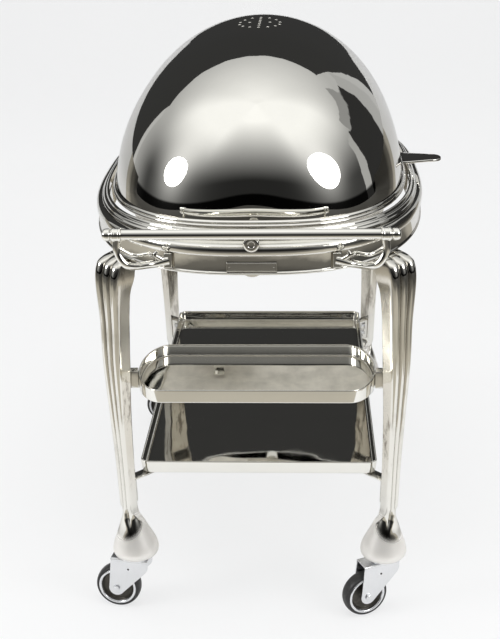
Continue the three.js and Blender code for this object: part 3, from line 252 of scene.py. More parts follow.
def smooth_values(keys, values, wanted):
    """Monotone cubic interpolation, so that a swelling form has no kinks."""
    keys, values, wanted = (np.asarray(a, float) for a in (keys, values, wanted))
    step = np.diff(keys)
    slope = np.diff(values) / step
    tangent = np.zeros(len(keys))
    tangent[0], tangent[-1] = slope[0], slope[-1]
    for i in range(1, len(keys) - 1):
        if slope[i - 1] * slope[i] > 0:
            a, b = 2 * step[i] + step[i - 1], step[i] + 2 * step[i - 1]
            tangent[i] = (a + b) / (a / slope[i - 1] + b / slope[i])
    at = np.clip(np.searchsorted(keys, wanted) - 1, 0, len(step) - 1)
    t = (wanted - keys[at]) / step[at]
    return (
        (1 + 2 * t) * (1 - t) ** 2 * values[at]
        + t * (1 - t) ** 2 * step[at] * tangent[at]
        + t * t * (3 - 2 * t) * values[at + 1]
        + t * t * (t - 1) * step[at] * tangent[at + 1]
    )


# ------------------------------------------------------------------ meshes


def mesh_object(name, vertices, faces, sharp=40, marks=None):
    """A smooth-shaded mesh object whose edges above an angle stay sharp. Marks are values for its points."""
    mesh = as_mesh((vertices, faces))
    for label, values in (marks or {}).items():
        mesh.attributes.new(label, "FLOAT", "POINT").data.foreach_set("value", list(values))
    return finished_mesh(name, mesh, sharp)


def finished_mesh(name, mesh, sharp=40):
    tidy = bmesh.new()
    tidy.from_mesh(mesh)
    bmesh.ops.remove_doubles(tidy, verts=tidy.verts, dist=1e-6)
    bmesh.ops.dissolve_degenerate(tidy, edges=tidy.edges, dist=1e-7)
    bmesh.ops.recalc_face_normals(tidy, faces=tidy.faces)
    tidy.to_mesh(mesh)
    tidy.free()
    mesh.polygons.foreach_set("use_smooth", [True] * len(mesh.polygons))
    if sharp:
        mesh.set_sharp_from_angle(angle=math.radians(sharp))
    mesh.name = name
    made = bpy.data.objects.new(name, mesh)
    bpy.context.scene.collection.objects.link(made)
    return made


def skin(loops, closed=False, capped=True):
    """Vertices and faces of a skin over loops of equal length."""
    loops = np.asarray(loops, float)
    rows, around = loops.shape[:2]
    vertices = loops.reshape(-1, 3).tolist()
    faces = []
    for i in range(rows if closed else rows - 1):
        j = (i + 1) % rows
        for k in range(around):
            m = (k + 1) % around
            faces.append((i * around + k, i * around + m, j * around + m, j * around + k))
    if capped and not closed:
        faces.append(tuple(range(around))[::-1])
        faces.append(tuple((rows - 1) * around + k for k in range(around)))
    return vertices, faces


def ring(profile, inner, outer):
    """A ring between two loops. Each profile row is (share outwards, offset, height)."""
    direction = outward(outer)
    loops = []
    for a, b, d in zip(inner, outer, direction):
        rows = []
        for share, offset, height in profile:
            x, y = a + (b - a) * share + d * offset
            rows.append((x + CENTRE[0], y + CENTRE[1], height))
        loops.append(rows)
    return skin(loops, closed=True)


def turned(profile, segments, centre=(0, 0, 0), axis="Z", closed=True):
    """A lathed form from (radius, height) rows about an axis through a centre."""
    profile = np.asarray(profile, float)
    angle = np.linspace(0, 2 * math.pi, segments, endpoint=False)
    loops = []
    for a in angle:
        x, y, z = profile[:, 0] * math.cos(a), profile[:, 0] * math.sin(a), profile[:, 1]
        if axis == "X":
            x, y, z = z, x, y
        elif axis == "Y":
            x, y, z = y, z, x
        loops.append(np.stack([x + centre[0], y + centre[1], z + centre[2]], 1))
    vertices, faces = skin(loops, closed=True)
    if not closed:
        per = len(profile)
        faces = [f for i, f in enumerate(faces) if i % per != per - 1]
    return vertices, faces


def lathed(rows, radii, segments, centre=(0, 0, 0), axis="Z", steps=3):
    """A lathed form from rows that start and end on its axis, with their corners eased."""
    return turned(eased(rows, radii, steps, closed=False), segments, centre, axis, closed=False)


def level(flat, height):
    """A loop of flat points at one height, or at one height each."""
    return np.column_stack([flat, np.broadcast_to(height, len(flat))])


def moved(pair, matrix):
    vertices, faces = pair
    return [tuple(matrix @ Vector(v)) for v in vertices], faces


def flat_plate(name, outlines, low, high, bevel, matrix=None, resolution=1):
    """A flat plate with holes and eased edges, filled between its outlines."""
    curve = bpy.data.curves.new(name, "CURVE")
    curve.dimensions = "2D"
    curve.fill_mode = "BOTH"
    for points in outlines:
        spline = curve.splines.new("POLY")
        spline.points.add(len(points) - 1)
        for slot, (x, y) in zip(spline.points, points):
            slot.co = (x, y, 0, 1)
        spline.use_cyclic_u = True
    curve.extrude = (high - low) / 2 - bevel
    curve.bevel_depth = bevel
    curve.bevel_resolution = resolution
    curve.offset = -bevel
    source = bpy.data.objects.new(name + ".curve", curve)
    bpy.context.scene.collection.objects.link(source)
    bpy.context.view_layer.update()
    mesh = bpy.data.meshes.new_from_object(source.evaluated_get(bpy.context.evaluated_depsgraph_get()))
    bpy.data.objects.remove(source)
    bpy.data.curves.remove(curve)
    mesh.transform(Matrix.Translation((0, 0, (low + high) / 2)))
    if matrix is not None:
        mesh.transform(matrix)
    return mesh


def circle(radius, segments=32, centre=(0, 0)):
    angle = np.linspace(0, 2 * math.pi, segments, endpoint=False)
    return [(centre[0] + radius * math.cos(a), centre[1] + radius * math.sin(a)) for a in angle]


def circle_arc(centre, radius, start, stop, points):
    return [(centre[0] + radius * math.cos(a), centre[1] + radius * math.sin(a))
            for a in np.linspace(start, stop, points)]


def merged_object(name, meshes, sharp=40):
    """One object from several meshes."""
    whole = bmesh.new()
    for mesh in meshes:
        whole.from_mesh(mesh)
        bpy.data.meshes.remove(mesh)
    result = bpy.data.meshes.new(name)
    whole.to_mesh(result)
    whole.free()
    return finished_mesh(name, result, sharp)


def as_mesh(pair):
    mesh = bpy.data.meshes.new("part")
    mesh.from_pydata([tuple(v) for v in pair[0]], [], [tuple(f) for f in pair[1]])
    return mesh


def standing(along, height):
    """The place of a plate that stands across the trolley's length."""
    return Matrix.Translation((CENTRE[0], along, height)) @ Matrix.Rotation(math.pi / 2, 4, "X")


def rounded_foot(half, depth, start, points):
    """Points round the foot of a standing plate, from left to right."""
    return [(-half * math.cos(a), start - depth * math.sin(a)) for a in np.linspace(0, math.pi, points)]


def placed(x, y, z):
    """A point of the trolley, given from its middle, in the frame."""
    return Vector((x + CENTRE[0], y + CENTRE[1], z))


# ------------------------------------------------------------------ wiring of node trees


class Wiring:
    """Short calls for the nodes of a tree."""

    def __init__(self, tree, entry=None):
        self.tree, self.entry = tree, entry

    def add(self, kind, inputs=None, **settings):
        made = self.tree.nodes.new(kind)
        for key, value in settings.items():
            setattr(made, key, value)
        for key, value in (inputs or {}).items():
            self.feed(made.inputs[key], value)
        return made

    def out(self, kind, inputs=None, **settings):
        """The first output of a new node."""
        return self.add(kind, inputs, **settings).outputs[0]

    def feed(self, socket, value):
        if isinstance(value, bpy.types.NodeSocket):
            self.tree.links.new(value, socket)
        else:
            socket.default_value = value

    def math(self, operation, a, b=0.0):
        return self.out("ShaderNodeMath", {0: a, 1: b}, operation=operation)

    def plus(self, a, b):
        return self.math("ADD", a, b)

    def minus(self, a, b):
        return self.math("SUBTRACT", a, b)

    def times(self, a, b):
        return self.math("MULTIPLY", a, b)

    def ranged(self, value, low, high, to_low=0.0, to_high=1.0, kind="LINEAR"):
        return self.out("ShaderNodeMapRange", {"Value": value, "From Min": low, "From Max": high,
                                               "To Min": to_low, "To Max": to_high},
                        interpolation_type=kind)

    def noise(self, vector, scale, detail=3, roughness=0.55):
        return self.add("ShaderNodeTexNoise", {"Vector": vector, "Scale": scale, "Detail": detail,
                                               "Roughness": roughness}).outputs["Fac"]

    def given(self, label):
        return self.entry.outputs[label]

    def object_shape(self, label):
        return self.add("GeometryNodeObjectInfo", {"Object": self.given(label)},
                        transform_space="ORIGINAL").outputs["Geometry"]

    def facing_turn(self):
        """The turn from Z to the seed points' own facing."""
        facing = self.out("GeometryNodeInputNamedAttribute", {"Name": "facing"},
                          data_type="FLOAT_VECTOR")
        return self.out("FunctionNodeAlignRotationToVector", {"Vector": facing}, axis="Z")

    def close(self, geometry, exit_node):
        """Ends the tree in plain geometry with its material."""
        real = self.out("GeometryNodeRealizeInstances", {"Geometry": geometry})
        dressed = self.out("GeometryNodeSetMaterial", {"Geometry": real,
                                                       "Material": self.given("Material")})
        self.tree.links.new(dressed, exit_node.inputs[0])


class Recipe(Wiring):
    """A material under construction."""

    def __init__(self, name):
        self.material = bpy.data.materials.new(name)
        self.material.use_nodes = True
        super().__init__(self.material.node_tree)
        self.tree.nodes.clear()
        self.shader = self.tree.nodes.new("ShaderNodeBsdfPrincipled")
        output = self.tree.nodes.new("ShaderNodeOutputMaterial")
        self.tree.links.new(self.shader.outputs[0], output.inputs[0])
        self.places = self.tree.nodes.new("ShaderNodeTexCoord").outputs["Object"]

    def stretched(self, scale, turn=(0, 0, 0)):
        return self.out("ShaderNodeMapping", {"Vector": self.places, "Rotation": turn,
                                               "Scale": scale})

    def mixed(self, share, first, second):
        made = self.add("ShaderNodeMix", data_type="RGBA")
        for key, value in (("Factor", share), (6, first), (7, second)):
            self.feed(made.inputs[key], value)
        return made.outputs[2]

    def bump(self, height, strength, distance, normal=None):
        inputs = {"Height": height, "Strength": strength, "Distance": distance}
        if normal is not None:
            inputs["Normal"] = normal
        return self.out("ShaderNodeBump", inputs)

    def set(self, **values):
        names = {"base": "Base Color", "metal": "Metallic", "rough": "Roughness", "normal": "Normal",
                 "specular": "Specular IOR Level"}
        for key, value in values.items():
            self.feed(self.shader.inputs[names[key]], value)
        return self.material


# ------------------------------------------------------------------ finishes


def shade(rgb, factor=1.0):
    return (*[c * factor for c in rgb], 1.0)


def polished_plate(name, rgb, rough, wave, hollow_shade_depth):
    """Polished plate: slow waves of hand finishing, fine wiping marks, and painted shade that darkens the hollows.
    """
    r = Recipe(name)
    waves = r.noise(r.places, 7.0, 2, 0.45)
    wiping = r.noise(r.stretched((60, 900, 260), (0.3, 0.2, 0.5)), 1.0, 2, 0.5)
    cloudy = r.noise(r.places, 16.0, 5, 0.65)
    specks = r.add("ShaderNodeTexVoronoi", {"Vector": r.places, "Scale": 55.0}).outputs["Distance"]
    normal = r.bump(waves, wave, 0.004)
    normal = r.bump(wiping, 0.006, 0.0004, normal)
    # the hollows that ambient occlusion finds are darkened towards a dark brown: painted shade
    hollow = r.add("ShaderNodeAmbientOcclusion", {"Distance": 0.012}, samples=4).outputs["AO"]
    dull = r.ranged(hollow, 0.35, 0.95, hollow_shade_depth, 0.0)
    tone = r.mixed(r.ranged(cloudy, 0.35, 0.75, 0.0, 0.35), shade(rgb), shade(rgb, 0.9))
    tone = r.mixed(dull, tone, (0.20, 0.17, 0.13, 1))
    pitted = r.ranged(specks, 0.0, 0.035, 0.10, 0.0)
    pale_reflection_patch, side_and_far_shade, reed_shade = (r.add("ShaderNodeAttribute", attribute_name=mark).outputs["Fac"]
                          for mark in ("pale_reflection_patch", "side_and_far_shade", "reed_shade"))
    streaks = r.noise(r.stretched((34, 34, 9)), 1.6, 5, 0.7)
    blots = r.ranged(streaks, 0.54, 0.64, 0.0, 0.75)
    # the legs' side faces and far legs take a dull beige-brown tone with dark blots: painted shade and reflection
    tone = r.mixed(r.times(side_and_far_shade, 0.55), tone, (0.60, 0.55, 0.46, 1))
    tone = r.mixed(r.times(side_and_far_shade, blots), tone, (0.16, 0.13, 0.10, 1))
    # near-black streaked colour in the reeds' grooves and where the reeds stop: painted shade in the grooves and a
    # painted dark reflection at the stops
    tone = r.mixed(r.times(reed_shade, r.ranged(streaks, 0.36, 0.52, 0.35, 1.0)), tone, (0.09, 0.08, 0.065, 1))
    # a pale, matt, less metallic patch on the foot's bulb; its pale colour is a painted reflection of the floor
    tone = r.mixed(pale_reflection_patch, tone, (0.92, 0.90, 0.865, 1))
    gloss = r.plus(r.ranged(cloudy, 0.3, 0.8, rough, rough * 2.4), pitted)
    gloss = r.plus(gloss, r.times(pale_reflection_patch, 0.33))
    gloss = r.plus(gloss, r.times(side_and_far_shade, 0.10))
    return r.set(base=tone, metal=r.ranged(pale_reflection_patch, 0.0, 1.0, 1.0, 0.55), rough=gloss, normal=normal)


def satin_chrome(name, rgb, rough):
    """Plain commercial chrome on pressed sheet: soft ripples from the press and light scuffs."""
    r = Recipe(name)
    ripple = r.noise(r.places, 45.0, 2, 0.5)
    scuff = r.noise(r.stretched((420, 420, 60)), 1.0, 3, 0.6)
    normal = r.bump(ripple, 0.10, 0.0012)
    normal = r.bump(scuff, 0.03, 0.0003, normal)
    tone = r.mixed(r.ranged(scuff, 0.45, 0.8, 0.0, 0.3), shade(rgb), shade(rgb, 0.82))
    return r.set(base=tone, metal=1.0, rough=r.ranged(ripple, 0.3, 0.7, rough, rough * 1.7), normal=normal)


def turned_steel(name, rgb, rough, metal):
    """Lathe-turned or rolled steel with fine lines and a mottled grey film."""
    r = Recipe(name)
    lines = r.noise(r.stretched((700, 90, 700)), 1.0, 3, 0.6)
    film = r.noise(r.places, 30.0, 5, 0.6)
    tone = r.mixed(r.ranged(film, 0.35, 0.7, 0.0, 0.6), shade(rgb), shade(rgb, 0.6))
    return r.set(base=tone, metal=metal, rough=r.ranged(film, 0.3, 0.7, rough, rough * 1.5),
                 normal=r.bump(lines, 0.12, 0.0004))


def moulded_rubber(name, rgb):
    """Dark moulded rubber, dusty where it has rolled."""
    r = Recipe(name)
    grain = r.noise(r.places, 420.0, 4, 0.6)
    dust = r.noise(r.places, 34.0, 5, 0.65)
    tone = r.mixed(r.ranged(dust, 0.45, 0.8, 0.0, 0.40), shade(rgb), (0.065, 0.063, 0.059, 1))
    return r.set(base=tone, metal=0.0, rough=r.ranged(dust, 0.3, 0.8, 0.26, 0.50), specular=0.35,
                 normal=r.bump(grain, 0.25, 0.0004))


def oiled_maple(name, rgb):
    """Maple with long grain, darker pores and knife marks across it."""
    r = Recipe(name)
    bend = r.noise(r.places, 5.0, 2, 0.5)
    warped = r.add("ShaderNodeVectorMath", {0: r.stretched((26, 1.6, 26)), 1: bend}, operation="ADD")
    grain = r.noise(warped.outputs[0], 2.2, 8, 0.7)
    pores = r.noise(r.stretched((900, 45, 900)), 1.0, 3, 0.6)
    cuts = r.noise(r.stretched((30, 1400, 30), (0, 0, 0.35)), 1.0, 2, 0.5)
    tone = r.mixed(r.ranged(grain, 0.35, 0.65), shade(rgb, 1.15), shade(rgb, 0.68))
    tone = r.mixed(r.ranged(pores, 0.55, 0.75, 0.0, 0.5), tone, shade(rgb, 0.4))
    normal = r.bump(r.ranged(cuts, 0.62, 0.7, 1.0, 0.0), 0.35, 0.0004)
    return r.set(base=tone, metal=0.0, rough=r.ranged(grain, 0.3, 0.7, 0.42, 0.6),
                 normal=r.bump(pores, 0.2, 0.0003, normal))


def finish_named(slot):
    """The material of a slot of the record, made at its first use."""
    name = f"{slot}_finish"
    found = bpy.data.materials.get(name)
    if found:
        return found
    colours = bpy.context.scene.trolley_finishes
    makers = {
        "silver_plate": lambda: polished_plate(name, colours.silver, 0.018, 0.20, 0.55),
        "castor_chrome": lambda: satin_chrome(name, colours.chrome, 0.16),
        "steel_lining": lambda: turned_steel(name, colours.steel, 0.42, 0.35),
        "wheel_steel": lambda: turned_steel(name, colours.wheel, 0.30, 0.6),
        "castor_rubber": lambda: moulded_rubber(name, colours.rubber),
        "maple_board": lambda: oiled_maple(name, colours.maple),
    }
    return makers[slot]()


BODY_OF = {node: body for body, nodes in frame["record"]["behaviour"]["bodies"].items() for node in nodes}
SLOT_OF = {row["node"]: row["material_slot"] for row in frame["record"]["subparts"]}


def dress(piece, node, slot=None):
    """Gives a piece the finish of a frame node, stands it for the node and lets it ride with it."""
    slot = slot or SLOT_OF[node]
    piece.data.materials.clear()
    piece.data.materials.append(finish_named(slot))
    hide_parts(node)
    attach(piece, BODY_OF[node])
    return piece


# ------------------------------------------------------------------ node trees


def new_tree(name, inputs):
    """An empty geometry tree with named inputs: (name, socket type, default)."""
    tree = bpy.data.node_groups.new(name, "GeometryNodeTree")
    for label, kind, default in inputs:
        socket = tree.interface.new_socket(label, in_out="INPUT", socket_type=kind)
        if default is not None:
            socket.default_value = default
    tree.interface.new_socket("Geometry", in_out="OUTPUT", socket_type="NodeSocketGeometry")
    return tree, tree.nodes.new("NodeGroupInput"), tree.nodes.new("NodeGroupOutput")


def grown(name, tree, values, start=None, sharp=40):
    """Runs a geometry tree on a mesh and keeps the result as a plain mesh object."""
    mesh = start or bpy.data.meshes.new(name + ".seed")
    host = bpy.data.objects.new(name + ".host", mesh)
    bpy.context.scene.collection.objects.link(host)
    modifier = host.modifiers.new("Tree", "NODES")
    modifier.node_group = tree
    identifiers = {i.name: i.identifier for i in tree.interface.items_tree if i.in_out == "INPUT"}
    for label, value in values.items():
        modifier[identifiers[label]] = value
    bpy.context.view_layer.update()
    depsgraph = bpy.context.evaluated_depsgraph_get()
    made = bpy.data.meshes.new_from_object(host.evaluated_get(depsgraph), depsgraph=depsgraph)
    host.modifiers.remove(modifier)
    bpy.data.objects.remove(host)
    if not made.polygons:
        raise RuntimeError(name + " came out of its tree empty")
    return finished_mesh(name, made, sharp)


def profile_object(name, points):
    """A closed profile that a path tree sweeps. X points outwards from the path and Y upwards."""
    mesh = bpy.data.meshes.new(name)
    total = len(points)
    mesh.from_pydata([(x, y, 0) for x, y in points], [(i, (i + 1) % total) for i in range(total)], [])
    made = bpy.data.objects.new(name, mesh)
    bpy.context.scene.collection.objects.link(made)
    return made


def oval_rail_tree():
    """Sweeps a profile along an oval that is given by its half sizes and squareness."""
    tree = bpy.data.node_groups.get("Oval rail")
    if tree:
        return tree
    tree, entry, leave = new_tree("Oval rail", [
        ("Half Width", "NodeSocketFloat", 0.25), ("Half Length", "NodeSocketFloat", 0.45),
        ("Squareness", "NodeSocketFloat", 2.8), ("Segments", "NodeSocketInt", 256),
        ("Centre", "NodeSocketVector", None), ("Profile", "NodeSocketObject", None),
        ("Material", "NodeSocketMaterial", None)])
    w = Wiring(tree, entry)
    fine = w.out("GeometryNodeCurvePrimitiveCircle", {"Resolution": 2400, "Radius": 1.0})
    turn = w.times(w.add("GeometryNodeSplineParameter").outputs["Factor"], 2 * math.pi)
    power = w.math("DIVIDE", 2.0, w.given("Squareness"))
    halves = []
    for operation, size in (("COSINE", "Half Width"), ("SINE", "Half Length")):
        wave = w.math(operation, turn)
        bowed = w.math("POWER", w.math("ABSOLUTE", wave), power)
        halves.append(w.times(w.times(w.math("SIGN", wave), bowed), w.given(size)))
    place = w.out("ShaderNodeCombineXYZ", {"X": halves[0], "Y": halves[1]})
    place = w.out("ShaderNodeVectorMath", {0: place, 1: w.given("Centre")}, operation="ADD")
    shaped = w.out("GeometryNodeSetPosition", {"Geometry": fine, "Position": place})
    even = w.out("GeometryNodeResampleCurve", {"Curve": shaped, "Count": w.given("Segments")})
    path = w.out("GeometryNodeSetCurveNormal", {"Curve": even}, mode="Z_UP")
    outline = w.out("GeometryNodeMeshToCurve", {"Mesh": w.object_shape("Profile")})
    swept = w.out("GeometryNodeCurveToMesh", {"Curve": path, "Profile Curve": outline})
    w.close(swept, leave)
    return tree


def oval_rail(name, profile, half_width, half_length, squareness, slot, segments=256):
    """A rail of one profile, (outwards, height) pairs, round an oval of the trolley."""
    # a swept profile comes out mirrored upwards, so its heights are turned over first
    source = profile_object(name + ".profile", [(x, -z) for x, z in profile])
    made = grown(name, oval_rail_tree(), {
        "Half Width": half_width, "Half Length": half_length, "Squareness": squareness,
        "Segments": segments, "Centre": tuple(CENTRE), "Profile": source, "Material": finish_named(slot)})
    bpy.data.objects.remove(source)
    return made


def tube_tree():
    """Sweeps a circle along the seed mesh's edge path, with its radius read from the path's points."""
    tree = bpy.data.node_groups.get("Tapered tube")
    if tree:
        return tree
    tree, entry, leave = new_tree("Tapered tube", [
        ("Geometry", "NodeSocketGeometry", None), ("Sides", "NodeSocketInt", 20),
        ("Material", "NodeSocketMaterial", None)])
    w = Wiring(tree, entry)
    path = w.out("GeometryNodeMeshToCurve", {"Mesh": w.given("Geometry")})
    thick = w.out("GeometryNodeInputNamedAttribute", {"Name": "thick"}, data_type="FLOAT")
    sized = w.out("GeometryNodeSetCurveRadius", {"Curve": path, "Radius": thick})
    disc = w.out("GeometryNodeCurvePrimitiveCircle", {"Resolution": w.given("Sides"),
                                                      "Radius": 1.0})
    swept = w.add("GeometryNodeCurveToMesh", {"Curve": sized, "Profile Curve": disc, "Fill Caps": True})
    if "Scale" in swept.inputs:
        tree.links.new(thick, swept.inputs["Scale"])
    w.close(swept.outputs[0], leave)
    return tree


def spread_tree():
    """Copies a small shape, such as a screw or a rivet, onto the seed mesh's points along their normals."""
    tree = bpy.data.node_groups.get("Fixings")
    if tree:
        return tree
    tree, entry, leave = new_tree("Fixings", [
        ("Geometry", "NodeSocketGeometry", None), ("Shape", "NodeSocketObject", None),
        ("Seed", "NodeSocketInt", 7), ("Material", "NodeSocketMaterial", None)])
    w = Wiring(tree, entry)
    turn = w.facing_turn()
    slant = w.add("FunctionNodeRandomValue", {2: 0.0, 3: 2 * math.pi, "Seed": w.given("Seed")},
                  data_type="FLOAT").outputs[1]
    spin = w.out("FunctionNodeAxisAngleToRotation", {"Axis": (0, 0, 1), "Angle": slant})
    turned_both = w.out("FunctionNodeRotateRotation", {"Rotation": turn, "Rotate By": spin},
                        rotation_space="LOCAL")
    shape = w.object_shape("Shape")
    points = w.out("GeometryNodeMeshToPoints", {"Mesh": w.given("Geometry")})
    placed_all = w.out("GeometryNodeInstanceOnPoints", {"Points": points, "Instance": shape,
                                                        "Rotation": turned_both})
    w.close(placed_all, leave)
    return tree


def seed_points(name, places, facings):
    mesh = bpy.data.meshes.new(name)
    mesh.from_pydata([tuple(p) for p in places], [], [])
    layer = mesh.attributes.new("facing", "FLOAT_VECTOR", "POINT")
    layer.data.foreach_set("vector", [c for f in facings for c in f])
    return mesh


def fixings(name, head, places, facings, slot, node, seed=7):
    """One object of many like fixings that rides with a frame node."""
    shape = bpy.data.objects.new(name + ".shape", as_mesh(head))
    bpy.context.scene.collection.objects.link(shape)
    made = grown(name, spread_tree(), {"Shape": shape, "Seed": seed, "Material": finish_named(slot)},
                 seed_points(name + ".seed", places, facings))
    bpy.data.objects.remove(shape)
    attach(made, BODY_OF[node])


def tube(name, path, thick, slot, sides=20):
    """A round tube along a list of points, with one radius for each of them."""
    mesh = bpy.data.meshes.new(name + ".path")
    mesh.from_pydata([tuple(p) for p in path], [(i, i + 1) for i in range(len(path) - 1)], [])
    layer = mesh.attributes.new("thick", "FLOAT", "POINT")
    layer.data.foreach_set("value", list(thick))
    return grown(name, tube_tree(), {"Sides": sides, "Material": finish_named(slot)}, mesh)


def flowing(points, steps):
    """A smooth path through a few points."""
    points = [np.array(p, float) for p in points]
    gaps = [0.0]
    for a, b in zip(points, points[1:]):
        gaps.append(gaps[-1] + float(np.linalg.norm(b - a)) ** 0.5)
    wanted = np.linspace(0, gaps[-1], steps)
    result = []
    for t in wanted:
        i = min(max(int(np.searchsorted(gaps, t)) - 1, 0), len(points) - 2)
        p1, p2 = points[i], points[i + 1]
        p0 = points[i - 1] if i > 0 else 2 * p1 - p2
        p3 = points[i + 2] if i + 2 < len(points) else 2 * p2 - p1
        u = (t - gaps[i]) / (gaps[i + 1] - gaps[i])
        result.append(0.5 * (2 * p1 + (p2 - p0) * u + (2 * p0 - 5 * p1 + 4 * p2 - p3) * u * u
                             + (3 * p1 - p0 - 3 * p2 + p3) * u ** 3))
    return result


# ------------------------------------------------------------------ cover


def dome_surface(sizes, inset, around=192, up=72, edge=None):
    """Rows of points from the cover's edge to its crown, on a dome shrunk by an inset."""
    width, long = sizes.half_width - inset, sizes.half_length - inset
    swell = (sizes.rise - inset) / width
    n = sizes.squareness
    edge = sizes.edge if edge is None else edge

    def height(x, y):
        radius = width * np.clip(1 - (np.abs(y) / long) ** n, 0, None) ** (1 / n)
        return swell * np.sqrt(np.clip(radius ** 2 - x ** 2, 0, None))

    rim = oval(width, long, n, around)
    low, high = np.full(around, 0.5), np.ones(around)
    for _ in range(50):
        middle = (low + high) / 2
        above = height(rim[:, 0] * middle, rim[:, 1] * middle) > edge
        low, high = np.where(above, middle, low), np.where(above, high, middle)
    rim = rim * low[:, None]
    rows = []
    for j in range(up):
        share = math.cos((j / up) ** 1.25 * math.pi / 2)
        x, y = rim[:, 0] * share, rim[:, 1] * share
        z = np.full(around, edge) if j == 0 else height(x, y)
        rows.append(np.stack([x + CENTRE[0], y + CENTRE[1], z + sizes.axis_height], 1))
    return rows, np.array([CENTRE[0], CENTRE[1], sizes.axis_height + sizes.rise - inset])


def dome_shell(sizes):
    """The domed sheet with its inner face and lower edge."""
    outer, top = dome_surface(sizes, 0)
    inner, under = dome_surface(sizes, sizes.wall)
    around = len(outer[0])
    vertices, faces = [], []
    for rows, crown, flip in ((outer, top, False), (inner, under, True)):
        start = len(vertices)
        vertices.extend(tuple(p) for row in rows for p in row)
        vertices.append(tuple(crown))
        for j in range(len(rows) - 1):
            for k in range(around):
                m = (k + 1) % around
                a, b = start + j * around, start + (j + 1) * around
                quad = (a + k, a + m, b + m, b + k)
                faces.append(quad[::-1] if flip else quad)
        last = start + (len(rows) - 1) * around
        for k in range(around):
            tip = (last + k, last + (k + 1) % around, start + len(rows) * around)
            faces.append(tip[::-1] if flip else tip)
    second = len(outer) * around + 1
    for k in range(around):
        m = (k + 1) % around
        faces.append((second + k, second + m, m, k))
    return vertices, faces


def vent_places(ring_width=0.037, ring_length=0.068, ring_count=14, pitch=0.022, line_count=5):
    places = []
    for i in range(ring_count):
        angle = 2 * math.pi * (i + 0.5) / ring_count
        places.append((ring_width * math.cos(angle), ring_length * math.sin(angle)))
    places.extend((0.0, pitch * (i - (line_count - 1) / 2)) for i in range(line_count))
    places.extend((side * ring_width / 2, 0.0) for side in (-1, 1))
    return places


def vent_tree():
    """Pierces the seed mesh at the points of a pattern and sets a rolled eyelet round each hole."""
    tree, entry, leave = new_tree("Steam vents", [
        ("Geometry", "NodeSocketGeometry", None), ("Pattern", "NodeSocketObject", None),
        ("Eyelet", "NodeSocketObject", None), ("Radius", "NodeSocketFloat", 0.0022),
        ("Material", "NodeSocketMaterial", None)])
    w = Wiring(tree, entry)
    pattern, eyelet = w.object_shape("Pattern"), w.object_shape("Eyelet")
    points = w.out("GeometryNodeMeshToPoints", {"Mesh": pattern})
    turn = w.facing_turn()
    pin = w.add("GeometryNodeMeshCylinder", {"Vertices": 20, "Radius": w.given("Radius"),
                                             "Depth": 0.02}).outputs["Mesh"]
    pins = w.out("GeometryNodeInstanceOnPoints", {"Points": points, "Instance": pin,
                                                  "Rotation": turn})
    pins = w.out("GeometryNodeRealizeInstances", {"Geometry": pins})
    pierced = w.add("GeometryNodeMeshBoolean", {"Mesh 1": w.given("Geometry"), "Mesh 2": pins},
                    operation="DIFFERENCE").outputs["Mesh"]
    eyelets = w.out("GeometryNodeInstanceOnPoints", {"Points": points, "Instance": eyelet,
                                                     "Rotation": turn})
    both = w.add("GeometryNodeJoinGeometry")
    tree.links.new(eyelets, both.inputs[0])
    tree.links.new(pierced, both.inputs[0])
    w.close(both.outputs[0], leave)
    return tree


